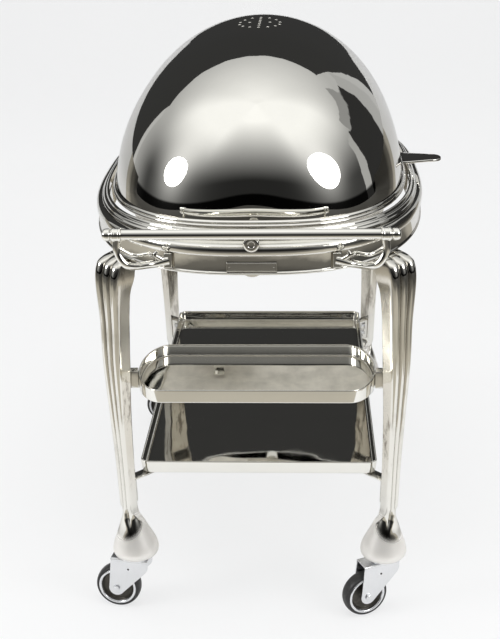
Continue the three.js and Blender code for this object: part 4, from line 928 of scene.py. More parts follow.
class TROLLEY_OT_cover(Operator):
    """Make the domed cover with its steam vents, edge bead and handle"""

    bl_idname = "trolley.cover"
    bl_label = "Cover"

    def execute(self, context):
        sizes = context.scene.trolley_cover
        self.shell(sizes)
        self.bead(sizes)
        self.handle(sizes)
        self.lugs(sizes)
        return {"FINISHED"}

    def shell(self, sizes):
        places, facings = [], []
        for x, y in vent_places():
            radius = sizes.half_width * (1 - (abs(y) / sizes.half_length) ** sizes.squareness) ** (
                1 / sizes.squareness)
            high = sizes.rise / sizes.half_width * math.sqrt(radius ** 2 - x ** 2)
            places.append(placed(x, y, sizes.axis_height + high))
            facings.append(Vector((x / sizes.half_width ** 2, 0, high / sizes.rise ** 2)).normalized())
        pattern = bpy.data.objects.new("vent.pattern", seed_points("vent.pattern", places, facings))
        rim = sizes.vent + 0.00045
        roll = [(rim + 0.0006 * math.cos(a), -0.0002 + 0.0006 * math.sin(a))
                for a in np.linspace(0, 2 * math.pi, 8, endpoint=False)]
        eyelet = bpy.data.objects.new("vent.eyelet", as_mesh(turned(roll, 20)))
        for source in (pattern, eyelet):
            bpy.context.scene.collection.objects.link(source)
        shell = grown("cover_dome", vent_tree(), {
            "Pattern": pattern, "Eyelet": eyelet, "Radius": sizes.vent,
            "Material": finish_named("silver_plate")}, as_mesh(dome_shell(sizes)), sharp=50)
        for source in (pattern, eyelet):
            bpy.data.objects.remove(source)
        dress(shell, "cover_shell")

    def bead(self, sizes):
        low = sizes.axis_height + sizes.edge - 0.001
        reach, high = sizes.bead, sizes.bead_height
        profile = [(0.0004, low), (reach * 0.55, low), (reach, low + high * 0.15), (reach, low + high * 0.38),
                   (reach * 0.62, low + high * 0.52), (reach * 0.70, low + high * 0.66),
                   (reach * 0.62, low + high * 0.82), (reach * 0.22, low + high), (0.0004, low + high)]
        profile = eased(profile, [0.0003, 0.0012, 0.0016, 0.0016, 0.0005, 0.0009, 0.0009, 0.0006, 0.0003], 4)
        bead = oval_rail("cover_bead", profile, sizes.half_width, sizes.half_length, sizes.squareness,
                         "silver_plate")
        dress(bead, "cover_edge_bead")

    def handle(self, sizes):
        half, tip_half = sizes.handle_width / 2, sizes.handle_tip / 2
        root = sizes.half_width + 0.0005
        tip = sizes.half_width + sizes.bead + sizes.handle_reach
        outline = [(root, -half), (root + 0.012, -half + 0.001), (tip - tip_half, -tip_half)]
        for t in np.linspace(0.08, 0.92, 14):
            outline.append(((1 - t) ** 2 * (tip - tip_half) + 2 * t * (1 - t) * tip + t * t * tip,
                            (1 - t) ** 2 * -tip_half + 2 * t * (1 - t) * -tip_half))
        outline += [(tip, 0)] + [(x, -y) for x, y in outline[:0:-1]] + [(root, half)]
        outline = [(x + CENTRE[0], y + CENTRE[1] + sizes.handle_shift) for x, y in outline]
        low, high = sizes.handle_bottom, sizes.handle_bottom + sizes.handle_thickness
        plate = flat_plate("cover_tongue", [outline], low, high, 0.0013, resolution=3)
        dress(merged_object("cover_tongue", [plate], 35), "cover_handle")

    def lugs(self, sizes):
        for name in ENDS:
            low, high = node_box(f"cover_lug_{name}")
            radius, top = (high[0] - low[0]) / 2, high[2] - sizes.axis_height
            outline = [(radius, 0), (radius, top), (-radius, top)] + rounded_foot(radius, radius, 0, 24)[:-1]
            hole = circle(SHAFT_RADIUS + SHAFT_PLAY, 24)
            turn = standing((low[1] + high[1]) / 2, sizes.axis_height)
            thick = (high[1] - low[1]) / 2
            ear = flat_plate("ear", [outline, hole], -thick, thick, 0.0008, turn, 2)
            dress(merged_object(f"cover_ear_{name}", [ear]), f"cover_lug_{name}")


# ------------------------------------------------------------------ oval body


class TROLLEY_OT_body(Operator):
    """Make the oval band with its rolls, the ledge's moulding, the end shafts and the bare name plate"""

    bl_idname = "trolley.body"
    bl_label = "Oval body"

    def execute(self, context):
        sizes = context.scene.trolley_body
        self.band(sizes)
        self.moulding(sizes)
        axis = context.scene.trolley_cover.axis_height
        for name, end in ENDS.items():
            self.shaft(name, end, axis)
            self.block(name, axis)
            self.hanger(name)
        self.name_plate()
        return {"FINISHED"}

    def band(self, sizes):
        foot, roll_foot = sizes.ledge - sizes.band, sizes.ledge - sizes.roll
        under, wall, bead, bulge = sizes.ledge - sizes.wall, sizes.wall, sizes.bead, sizes.bulge
        rows = [
            (1, -wall, foot), (1, bead * 0.6, foot), (1, bead, foot + bead * 0.6), (1, bead, foot + bead * 1.3),
            (1, 0, foot + bead * 2), (1, 0, roll_foot), (1, bulge * 0.8, roll_foot + 0.0012),
            (1, bulge, roll_foot + sizes.roll * 0.3), (1, bulge, roll_foot + sizes.roll * 0.55),
            (1, bulge * 0.5, sizes.ledge - 0.0030), (1, -0.002, sizes.ledge - 0.0004), (1, -0.005, sizes.ledge),
            (0, 0, sizes.ledge), (0, 0, sizes.ledge - sizes.skirt), (0, wall, sizes.ledge - sizes.skirt),
            (0, wall, under), (1, -wall, under)]
        radii = [0.0005, 0.0012, 0.0012, 0.0012, 0.0007, 0.0005, 0.0016, 0.004, 0.005, 0.004, 0.002, 0.001,
                 0.001, 0.001, 0.001, 0.0015, 0.0015]
        rows = eased(rows, radii, 4)
        inner = oval(sizes.opening_width, sizes.opening_length, sizes.opening_squareness, 288)
        outer = oval(sizes.half_width, sizes.half_length, sizes.squareness, 288)
        band = mesh_object("oval_frame", *ring(rows, inner, outer), sharp=45)
        self.cap_recesses(band, sizes)
        dress(band, "oval_band")

    def cap_recesses(self, band, sizes):
        """Cuts the round recesses that the shafts' caps sit in."""
        for name, end in ENDS.items():
            low, high = node_box(f"end_shaft_{name}")
            radius = (high[0] - low[0]) / 2 + 0.0004
            near, far = (low[1] - 0.01, CENTRE[1] - sizes.half_length + 0.0055) if end < 0 else (
                CENTRE[1] + sizes.half_length - 0.0055, high[1] + 0.01)
            cutter = mesh_object("recess", *turned(
                [(0, near), (radius, near), (radius, far), (0, far)], 48,
                (CENTRE[0], 0, (low[2] + high[2]) / 2), "Y", closed=False))
            modifier = band.modifiers.new("Recess", "BOOLEAN")
            modifier.operation, modifier.object, modifier.solver = "DIFFERENCE", cutter, "EXACT"
            bpy.context.view_layer.update()
            mesh = bpy.data.meshes.new_from_object(band.evaluated_get(bpy.context.evaluated_depsgraph_get()))
            band.modifiers.remove(modifier)
            band.data = mesh
            bpy.data.objects.remove(cutter)
        band.data.set_sharp_from_angle(angle=math.radians(45))

    def moulding(self, sizes):
        low = sizes.ledge + 0.0003
        wide, high = sizes.moulding_width, sizes.moulding_height
        profile = [(0.0005, low), (wide, low), (wide, low + high * 0.22), (wide * 0.8, low + high * 0.34),
                   (wide * 0.72, low + high * 0.58), (wide * 0.42, low + high * 0.66),
                   (wide * 0.36, low + high * 0.9), (wide * 0.16, low + high), (0.0005, low + high * 0.92)]
        profile = eased(profile, [0.0003, 0.0008, 0.0015, 0.0012, 0.0022, 0.0012, 0.0018, 0.0014, 0.0004], 4)
        rail = oval_rail("ledge_rail", profile, sizes.opening_width, sizes.opening_length,
                         sizes.opening_squareness, "silver_plate")
        dress(rail, "ledge_moulding")

    def shaft(self, name, end, axis):
        low, high = node_box(f"end_shaft_{name}")
        inner, tip = (high[1], low[1]) if end < 0 else (low[1], high[1])
        radius, cap = SHAFT_RADIUS, (high[0] - low[0]) / 2
        neck = tip - end * 0.0135
        rows = [(0, inner), (radius, inner), (radius, neck), (cap, neck), (cap, tip - end * 0.0024),
                (cap * 0.80, tip), (cap * 0.45, tip), (cap * 0.40, tip - end * 0.0006), (0, tip - end * 0.0006)]
        radii = [0, 0.001, 0.0005, 0.0008, 0.002, 0.0015, 0.0003, 0.0003, 0]
        shaft = mesh_object(f"shaft_{name}", *lathed(rows, radii, 64, (CENTRE[0], 0, axis), "Y", 4))
        dress(shaft, f"end_shaft_{name}")

    def block(self, name, axis):
        low, high = node_box(f"shaft_block_{name}")
        half, depth = (high[0] - low[0]) / 2, (high[1] - low[1]) / 2
        belly = half * 0.7
        outline = [(half, high[2]), (-half, high[2])] + rounded_foot(half, belly, low[2] + belly, 32)
        turn = standing((low[1] + high[1]) / 2, 0)
        hole = circle(SHAFT_RADIUS + SHAFT_PLAY, 24, (0, axis))
        block = flat_plate("block", [outline, hole], -depth, depth, 0.0012, turn, 2)
        dress(merged_object(f"bearing_{name}", [block]), f"shaft_block_{name}")

    def hanger(self, name):
        strap = frame["nodes"][f"pan_hanger_{name}"]
        strap.data.materials.clear()
        strap.data.materials.append(finish_named("steel_lining"))

    def name_plate(self):
        low, high = node_box("name_plate")
        z = (low[2] + high[2]) / 2
        half, tall = (high[0] - low[0]) / 2, (high[2] - low[2]) / 2
        front, depth = low[1], high[1] - low[1]
        rim = 0.0016
        outline = eased([(-half, -tall), (half, -tall), (half, tall), (-half, tall)], 0.0012, 5)
        field = eased([(-half + rim, -tall + rim), (half - rim, -tall + rim), (half - rim, tall - rim),
                       (-half + rim, tall - rim)], 0.0006, 4)
        turn = Matrix.Translation((CENTRE[0], 0, z)) @ Matrix.Rotation(math.pi / 2, 4, "X")
        border = flat_plate("border", [outline, field], -(front + depth), -front, 0.0004, turn, 2)
        sunk = flat_plate("sunk", [field], -(front + depth), -(front + 0.0009), 0.0001, turn)
        plate = merged_object("name_plate_bare", [border, sunk], 40)
        dress(plate, "name_plate")
        pin = lathed([(0, -0.0003), (0.0007, -0.0003), (0.0007, 0.0003), (0, 0.0006)], [0, 0, 0.0003, 0], 12)
        places = [(CENTRE[0] + side * (half - 0.0045), front + 0.0009, z) for side in (-1, 1)]
        fixings("name_plate_pins", pin, places, [(0, -1, 0)] * 2, "silver_plate", "name_plate")


# ------------------------------------------------------------------ push bar


class TROLLEY_OT_push_bar(Operator):
    """Make the push bar, its end caps and the two cast scroll brackets"""

    bl_idname = "trolley.push_bar"
    bl_label = "Push bar"

    def execute(self, context):
        sizes = context.scene.trolley_bar
        y, z = CENTRE[1] - sizes.reach, sizes.height
        r, half = sizes.radius, sizes.half_length
        rows = [(0, -half), (r, -half), (r, half), (0, half)]
        rod = lathed(rows, [0, 0.0012, 0.0012, 0], 64, (CENTRE[0], y, z), "X", 4)
        bar = mesh_object("push_bar_rod", *rod)
        dress(bar, "push_bar")
        for name, side in SIDES.items():
            self.cap(name, side, y, z)
            self.bracket(sizes, context.scene.trolley_body, name, side, y, z)
        return {"FINISHED"}

    def cap(self, name, side, y, z):
        low, high = node_box(f"bar_cap_{name}")
        start, stop = (low[0], high[0]) if side > 0 else (high[0], low[0])
        long = stop - start
        r = (high[2] - low[2]) / 2
        rows = [(0, start), (r * 0.86, start), (r * 0.9, start + long * 0.06), (r, start + long * 0.14),
                (r, start + long * 0.5), (r * 0.93, start + long * 0.72), (r * 0.72, start + long * 0.9),
                (r * 0.3, stop), (0, stop)]
        radii = [0, 0.0004, 0.0006, 0.001, 0.002, 0.003, 0.003, 0.002, 0]
        cap = mesh_object(f"bar_knob_{name}", *lathed(rows, radii, 48, (0, y, z), "X", 4))
        dress(cap, f"bar_cap_{name}")

    def bracket(self, sizes, body, name, side, y, z):
        """A collar round the bar, a scroll that sweeps down from it and a square foot on the band."""
        x0, x1 = side * sizes.foot_place + CENTRE[0], side * sizes.collar_place + CENTRE[0]
        foot_low = body.ledge - body.band + 0.0056
        foot_z = foot_low + 0.012
        share = (sizes.foot_place / body.half_width) ** body.squareness
        face = CENTRE[1] - body.half_length * (1 - share) ** (1 / body.squareness)
        parts = []
        main = flowing([(x0, face - 0.003, foot_z), (x0 + side * 0.026, face - 0.012, foot_z - 0.004),
                        (x1 - side * 0.014, y + 0.002, foot_z + 0.004), (x1, y, foot_z + 0.026),
                        (x1, y, z - sizes.radius)], 40)
        thick = smooth_values([0, 0.25, 0.6, 1], [0.0078, 0.0060, 0.0056, 0.0060], np.linspace(0, 1, 40))
        parts.append(tube("scroll", main, thick, "silver_plate", 24))
        upper = flowing([(x0 + side * 0.012, face - 0.006, foot_z + 0.002),
                         (x0 + side * 0.028, face - 0.010, foot_z + 0.012),
                         (x1 - side * 0.022, y + 0.007, foot_z + 0.019), (x1, y, foot_z + 0.033)], 30)
        thin = smooth_values([0, 0.2, 0.8, 1], [0.0055, 0.0036, 0.0030, 0.0040], np.linspace(0, 1, 30))
        parts.append(tube("scroll", upper, thin, "silver_plate", 16))
        curl = flowing([(x0 + side * 0.010, face - 0.006, foot_z + 0.002),
                        (x0 + side * 0.019, face - 0.010, foot_z + 0.010),
                        (x0 + side * 0.016, face - 0.009, foot_z + 0.0155)], 16)
        parts.append(tube("scroll", curl, smooth_values([0, 1], [0.0055, 0.0030], np.linspace(0, 1, 16)),
                          "silver_plate", 14))
        meshes = []
        for part in parts:
            meshes.append(part.data.copy())
            bpy.data.objects.remove(part)
        r, c, w = sizes.radius + 0.0003, sizes.collar, sizes.collar_width / 2
        rows = eased([(r, x1 - w), (c * 0.94, x1 - w), (c, x1 - w * 0.82), (c, x1 - w * 0.5),
                      (c * 0.95, x1 - w * 0.38), (c * 0.95, x1 + w * 0.38), (c, x1 + w * 0.5),
                      (c, x1 + w * 0.82), (c * 0.94, x1 + w), (r, x1 + w)], 0.0007, 3)
        meshes.append(as_mesh(turned(rows, 56, (0, y, z), "X")))
        half = 0.0065
        outline = eased([(x0 - half, 0), (x0 + half, 0), (x0 + half, 0.024), (x0 - half, 0.024)], 0.0015, 4)
        turn = Matrix.Translation((0, 0, foot_low)) @ Matrix.Rotation(math.pi / 2, 4, "X")
        meshes.append(flat_plate("foot", [outline], -(face - 0.0002), -(face - 0.008), 0.0014, turn, 3))
        bracket = merged_object(f"scroll_bracket_{name}", meshes, 50)
        dress(bracket, f"bar_bracket_{name}")


# ------------------------------------------------------------------ legs

# height down from the top, step outward, width, back depth and reed bulge
LEG_FORM = np.array([
    (0.000, 0.0120, 0.048, 0.014, 0.0050), (0.005, 0.0270, 0.055, 0.026, 0.0080),
    (0.013, 0.0370, 0.058, 0.033, 0.0100), (0.032, 0.0420, 0.059, 0.033, 0.0100),
    (0.060, 0.0435, 0.056, 0.025, 0.0095), (0.116, 0.0430, 0.048, 0.022, 0.0085),
    (0.176, 0.0440, 0.044, 0.022, 0.0080), (0.276, 0.0410, 0.036, 0.018, 0.0065),
    (0.376, 0.0370, 0.031, 0.016, 0.0050), (0.468, 0.0340, 0.028, 0.016, 0.0048)])
# height above the foot's underside, radius, and share of the lean back to the leg's middle
FOOT_FORM = np.array([
    (0.0, 0.0365, 0.0), (0.0038, 0.0395, 0.0), (0.0091, 0.0405, 0.0), (0.0198, 0.0385, 0.0),
    (0.0350, 0.0328, 0.15), (0.0547, 0.0250, 0.45), (0.0684, 0.0203, 0.75), (0.0760, 0.0174, 1.0)])
LEG_DROP, FOOT_RISE = LEG_FORM[-1, 0], FOOT_FORM[-1, 0]
# the reeds run out into the foot between these heights over its underside
BLEND_TOP, GROOVE_STOP, CREST_STOP, SIDE_STOP = 0.100, 0.046, 0.072, 0.070


def reeded_section(width, back, reed, reeds, fine=14):
    """Points round a leg: flat back and sides, and a swelling reed across each part of the front."""
    points, phase = [], []
    ease = min(0.003, back * 0.3)
    for start, stop, begin in (((-back, -width / 2), (-back, width / 2), 0),
                               ((-back, width / 2), (0, width / 2), 1)):
        start, stop = np.array(start), np.array(stop)
        inset = ease / np.linalg.norm(stop - start)
        for t in np.linspace(inset, 1 - (inset if begin == 0 else 0), 9)[:9 if begin == 0 else 8]:
            points.append(start + (stop - start) * t)
            phase.append(begin + t)
    reach = width / reeds
    for i in range(reeds - 1, -1, -1):
        centre = -width / 2 + reach * (i + 0.5)
        for k in range(fine + (1 if i == 0 else 0)):
            angle = math.pi * k / fine
            points.append(np.array((reed * math.sin(angle) ** 0.85, centre + reach / 2 * math.cos(angle))))
            phase.append(2 + 3 * (reeds - 1 - i) + 3 * k / fine)
    for t in np.linspace(0, 1 - ease / back, 9)[1:]:
        points.append(np.array((-back * t, -width / 2)))
        phase.append(2 + 3 * reeds + t)
    return np.array(points), np.array(phase)


def crest_of(phase, total):
    """How far round a reed a point lies: 0 in the grooves and 1 on the crests."""
    return np.abs(np.sin(math.pi * np.clip(phase - 2, 0, total - 3) / 3))


def leg_loops(sizes, side, end):
    """Loops of a leg from its shoulder down through the lamb's-tongue stops into the round foot."""
    diagonal = math.sqrt(0.5)
    root = np.array((side * sizes.root_x + CENTRE[0], end * sizes.root_y + CENTRE[1]))
    out, across = np.array((side, end)) * diagonal, np.array((-end, side)) * diagonal
    loops, pale_reflection_patch, side_and_far_shade, reed_shade = [], [], [], []
    total = 3 + 3 * sizes.reeds
    drops = np.concatenate([np.linspace(0, 0.014, 9)[:-1], np.linspace(0.014, LEG_DROP, 48)])
    heights = [sizes.top - d for d in drops]
    heights += list(np.linspace(sizes.top - LEG_DROP, sizes.foot_bottom, 42)[1:])
    for z in heights:
        drop = min(sizes.top - z, LEG_DROP)
        step, width, back, reed = (float(smooth_values(LEG_FORM[:, 0], LEG_FORM[:, c], [drop])[0])
                                   for c in (1, 2, 3, 4))
        section, phase = reeded_section(width, back, reed, sizes.reeds)
        rise = z - sizes.foot_bottom
        crest = crest_of(phase, total)
        side_face = (phase < 2) | (phase > total - 1)
        if rise < BLEND_TOP:
            radius, lean = (float(smooth_values(FOOT_FORM[:, 0], FOOT_FORM[:, c], [min(rise, FOOT_RISE)])[0])
                            for c in (1, 2))
            foot = sizes.foot_out + lean * (LEG_FORM[-1, 1] - LEG_FORM[-1, 3] / 2 - sizes.foot_out)
            angle = math.pi + 2 * math.pi * (0.5 - phase) / total
            rounded = np.stack([radius * np.cos(angle) + foot - step, radius * np.sin(angle)], 1)
            stop = np.where(side_face, SIDE_STOP, GROOVE_STOP + (CREST_STOP - GROOVE_STOP) * crest)
            share = np.clip((BLEND_TOP - rise) / (BLEND_TOP - stop), 0, 1)
            share = share * share * (3 - 2 * share)
            section = section * (1 - share[:, None]) + rounded * share[:, None]
        places = root + out * (step + section[:, :1]) + across * section[:, 1:]
        loops.append(level(places, z))
        # the foot's bulb is made pale, matt and less metallic up to a rounded line below the reeds' ends; its pale
        # colour is a painted reflection of the floor
        apart = np.clip(np.abs(phase - (1 + total) / 2) / ((total - 3) / 2), 0, 1)
        line = 0.040 + 0.044 * apart ** 2
        pale_reflection_patch.append(np.clip((line - rise) / 0.012 + 0.5, 0, 1))
        # the side faces take the full dull tone, the far legs it nearly all round and the near legs a little, as
        # painted shade and reflection; painted shade darkens the grooves
        edge_face = (phase <= 2) | (phase >= total - 1)
        below = np.clip((rise - 0.11) / 0.10, 0, 1)
        side_and_far_shade.append(np.where(edge_face, below, below * (0.7 if end > 0 else 0.25)))
        # painted shade darkens the grooves high on the shoulder, and a painted dark reflection lies in the hollow
        # where the reeds stop
        groove = np.clip(1 - 1.6 * crest, 0, 1)
        shoulder = np.clip((z - sizes.top + 0.17) / 0.09, 0, 1)
        shoulder *= np.clip((sizes.top - 0.03 - z) / 0.02, 0, 1)
        stops = np.clip((rise - line) / 0.004, 0, 1) * np.clip((line + 0.024 - rise) / 0.010, 0, 1)
        reed_darkness = np.maximum(groove * shoulder, stops * (1 - 0.7 * crest))
        reed_shade.append(np.where(edge_face, 0.0, reed_darkness))
    marks = {"pale_reflection_patch": pale_reflection_patch, "side_and_far_shade": side_and_far_shade, "reed_shade": reed_shade}
    return loops, {label: np.concatenate(values) for label, values in marks.items()}


class TROLLEY_OT_legs(Operator):
    """Make the four reeded legs with their trumpet feet"""

    bl_idname = "trolley.legs"
    bl_label = "Legs"

    def execute(self, context):
        sizes = context.scene.trolley_legs
        for name, (side, end) in CORNERS.items():
            loops, marks = leg_loops(sizes, side, end)
            # the shoulder closes in a soft crown and the foot under its rim
            crown = loops[0].copy()
            centre = crown.mean(0)
            caps = [centre + (crown - centre) * s + (0, 0, h) for s, h in ((0.5, 0.0), (0.9, -0.0002))]
            pad = np.zeros(2 * len(crown))
            marks = {label: np.concatenate([pad, values]) for label, values in marks.items()}
            leg = mesh_object(f"reeded_leg_{name}", *skin(caps + loops), sharp=42, marks=marks)
            dress(leg, f"leg_{name}")
        return {"FINISHED"}


# ------------------------------------------------------------------ shelves


def lipped_tray(outline, floor, top, wall, lip_roll, flare=0.0):
    """Loops of a sheet tray: a flat floor, an upstanding lip with a rolled edge, and its underside."""
    outline = np.asarray(outline, float)
    normal = outward(outline)

    def loop(offset, height):
        flat = outline + normal * offset
        return level(flat, height)

    middle = outline.mean(0)
    rows = []
    for share in (0.02, 0.5, 0.9):
        flat = middle + (outline - middle) * share
        rows.append(level(flat, floor + wall))
    corner = 0.0035
    section = [(-wall - flare - corner, floor + wall), (-wall - flare, floor + wall), (-wall, top - lip_roll),
               (-wall - 0.0004, top - lip_roll * 0.4), (-wall * 0.5, top), (0.0, top - lip_roll * 0.25),
               (0.0, top - lip_roll), (-flare, floor), (-flare - 0.004, floor)]
    section = eased(section, [0, corner, 0.001, 0.0008, 0.001, 0.0008, 0.0008, 0.0018, 0], 4, closed=False)
    for offset, height in section:
        rows.append(loop(offset, height))
    for share in (0.9, 0.5, 0.02):
        flat = middle + (outline - middle) * share
        rows.append(level(flat, floor))
    return rows


def filled_outline(corners, radius, step=0.006):
    """A rounded outline with points at even steps, so that a sweep round it is fine everywhere."""
    rounded = eased(corners, radius, 6)
    result = []
    for a, b in zip(rounded, np.roll(rounded, -1, 0)):
        pieces = max(1, int(np.linalg.norm(b - a) / step))
        result.extend(a + (b - a) * k / pieces for k in range(pieces))
    return np.array(result)


class TROLLEY_OT_shelves(Operator):
    """Make the lower shelf, the bowed plate tray and the brackets that hold them, with their screws"""

    bl_idname = "trolley.shelves"
    bl_label = "Shelves"

    def execute(self, context):
        sizes = context.scene.trolley_shelves
        self.shelf(sizes)
        self.tray(sizes)
        for name, (side, end) in CORNERS.items():
            self.angle_bracket(name, side, end, context.scene.trolley_legs)
        for name, side in SIDES.items():
            self.tray_bracket(name)
        return {"FINISHED"}

    def shelf(self, sizes):
        w, l, c = sizes.half_width, sizes.half_length, sizes.corner
        corners = [(w, -l + c), (w, l - c), (w - c, l), (-w + c, l), (-w, l - c), (-w, -l + c), (-w + c, -l),
                   (w - c, -l)]
        outline = filled_outline(corners, 0.004) + CENTRE[:2]
        rows = lipped_tray(outline, sizes.top - sizes.lip, sizes.top, sizes.wall, 0.004, sizes.flare)
        shelf = mesh_object("shelf_tray", *skin(rows), sharp=50)
        dress(shelf, "lower_shelf")

    def tray(self, sizes):
        half, depth = sizes.tray_straight, sizes.tray_half_depth
        bow = sizes.tray_half_width - half
        outline = []
        for k in range(33):
            angle = -math.pi / 2 + math.pi * k / 32
            outline.append((half + bow * math.cos(angle), depth * math.sin(angle)))
        outline += [(x, depth) for x in np.linspace(half, -half, 24)[1:-1]]
        for k in range(33):
            angle = math.pi / 2 + math.pi * k / 32
            outline.append((-half + bow * math.cos(angle), depth * math.sin(angle)))
        outline += [(x, -depth) for x in np.linspace(-half, half, 24)[1:-1]]
        outline = np.array(outline) + (CENTRE[0], CENTRE[1] + sizes.tray_place)
        rows = lipped_tray(outline, sizes.tray_top - sizes.tray_lip, sizes.tray_top, sizes.wall, 0.004)
        tray = mesh_object("bowed_tray", *skin(rows), sharp=50)
        dress(tray, "plate_tray")

    def angle_bracket(self, name, side, end, legs):
        """An angle of sheet with eased edges and two screws into the leg."""
        low, high = node_box(f"shelf_bracket_{name}")
        diagonal = math.sqrt(0.5)
        root = np.array((side * legs.root_x + CENTRE[0], end * legs.root_y + CENTRE[1], 0))
        out, across = np.array((side, end, 0)) * diagonal, np.array((-end, side, 0)) * diagonal
        turn = Matrix((
            (across[0], 0, out[0], root[0]), (across[1], 0, out[1], root[1]), (0, 1, 0, 0), (0, 0, 0, 1)))
        inner = LEG_FORM[:, 1] - LEG_FORM[:, 3]
        face = smooth_values(LEG_FORM[:, 0], inner, [legs.top - low[2], legs.top - high[2]]) - 0.0003
        thick, half, reach = 0.003, 0.010, 0.046
        screw_shares = (0.28, 0.66)
        tall = high[2] - low[2]
        lean = Matrix.Rotation(math.atan2(face[1] - face[0], tall), 4, "X")
        outline = eased([(-half, 0), (half, 0), (half, tall - 0.0005), (-half, tall - 0.0005)],
                        [0.005, 0.005, 0.001, 0.001], 5)
        holes = [circle(0.0026, 20, (0, tall * share)) for share in screw_shares]
        upright = flat_plate("upright", [outline, *holes], -thick, 0, 0.0005,
                             turn @ Matrix.Translation((0, low[2], face[0])) @ lean, 2)
        outline = eased([(-half, 0), (half, 0), (half, -reach), (-half, -reach)],
                        [0.001, 0.001, 0.005, 0.005], 5)
        flat_turn = Matrix((
            (across[0], out[0], 0, root[0] + out[0] * (face[1] - thick / 2)),
            (across[1], out[1], 0, root[1] + out[1] * (face[1] - thick / 2)), (0, 0, 1, 0), (0, 0, 0, 1)))
        flange = flat_plate("flange", [outline], high[2] - thick, high[2], 0.0005, flat_turn, 2)
        bracket = merged_object(f"shelf_angle_{name}", [upright, flange])
        dress(bracket, f"shelf_bracket_{name}")
        head = lathed([(0, 0), (0.0046, 0), (0.0044, 0.0012), (0.0028, 0.0024), (0, 0.0028)],
                      [0, 0.0003, 0.001, 0.001, 0], 20)
        places = []
        for share in screw_shares:
            back = face[0] + (face[1] - face[0]) * share - thick - 0.0002
            places.append(root + out * back + np.array((0, 0, low[2] + tall * share)))
        fixings(f"shelf_screws_{name}", head, places, [-out] * 2, "castor_chrome", f"shelf_bracket_{name}")

    def tray_bracket(self, name):
        node = f"tray_bracket_{name}"
        dress(softened_copy(f"tray_block_{name}", node, 0.0012), node)


def softened_copy(name, node, bevel):
    """A copy of a frame node with its loose triangles merged and its edges eased."""
    mesh = frame["nodes"][node].data.copy()
    tidy = bmesh.new()
    tidy.from_mesh(mesh)
    bmesh.ops.remove_doubles(tidy, verts=tidy.verts, dist=1e-6)
    bmesh.ops.dissolve_limit(tidy, angle_limit=math.radians(2), verts=tidy.verts, edges=tidy.edges)
    sharp = [e for e in tidy.edges if len(e.link_faces) == 2 and e.calc_face_angle(0) > math.radians(40)]
    bmesh.ops.bevel(tidy, geom=sharp, offset=bevel, segments=3, profile=0.6, affect="EDGES", clamp_overlap=True)
    tidy.to_mesh(mesh)
    tidy.free()
    return finished_mesh(name, mesh, 45)


# ------------------------------------------------------------------ castors


def axle_turn(pivot, angle, sizes):
    """From a frame whose Z is the axle to a castor's place: X along the trail, Y up."""
    trail = Vector((math.cos(angle), math.sin(angle), 0))
    across = Vector((math.sin(angle), -math.cos(angle), 0))
    centre = Vector(pivot) + trail * sizes.trail + Vector((0, 0, sizes.wheel))
    return Matrix((
        (trail.x, 0, across.x, centre.x), (trail.y, 0, across.y, centre.y), (0, 1, 0, centre.z), (0, 0, 0, 1)))


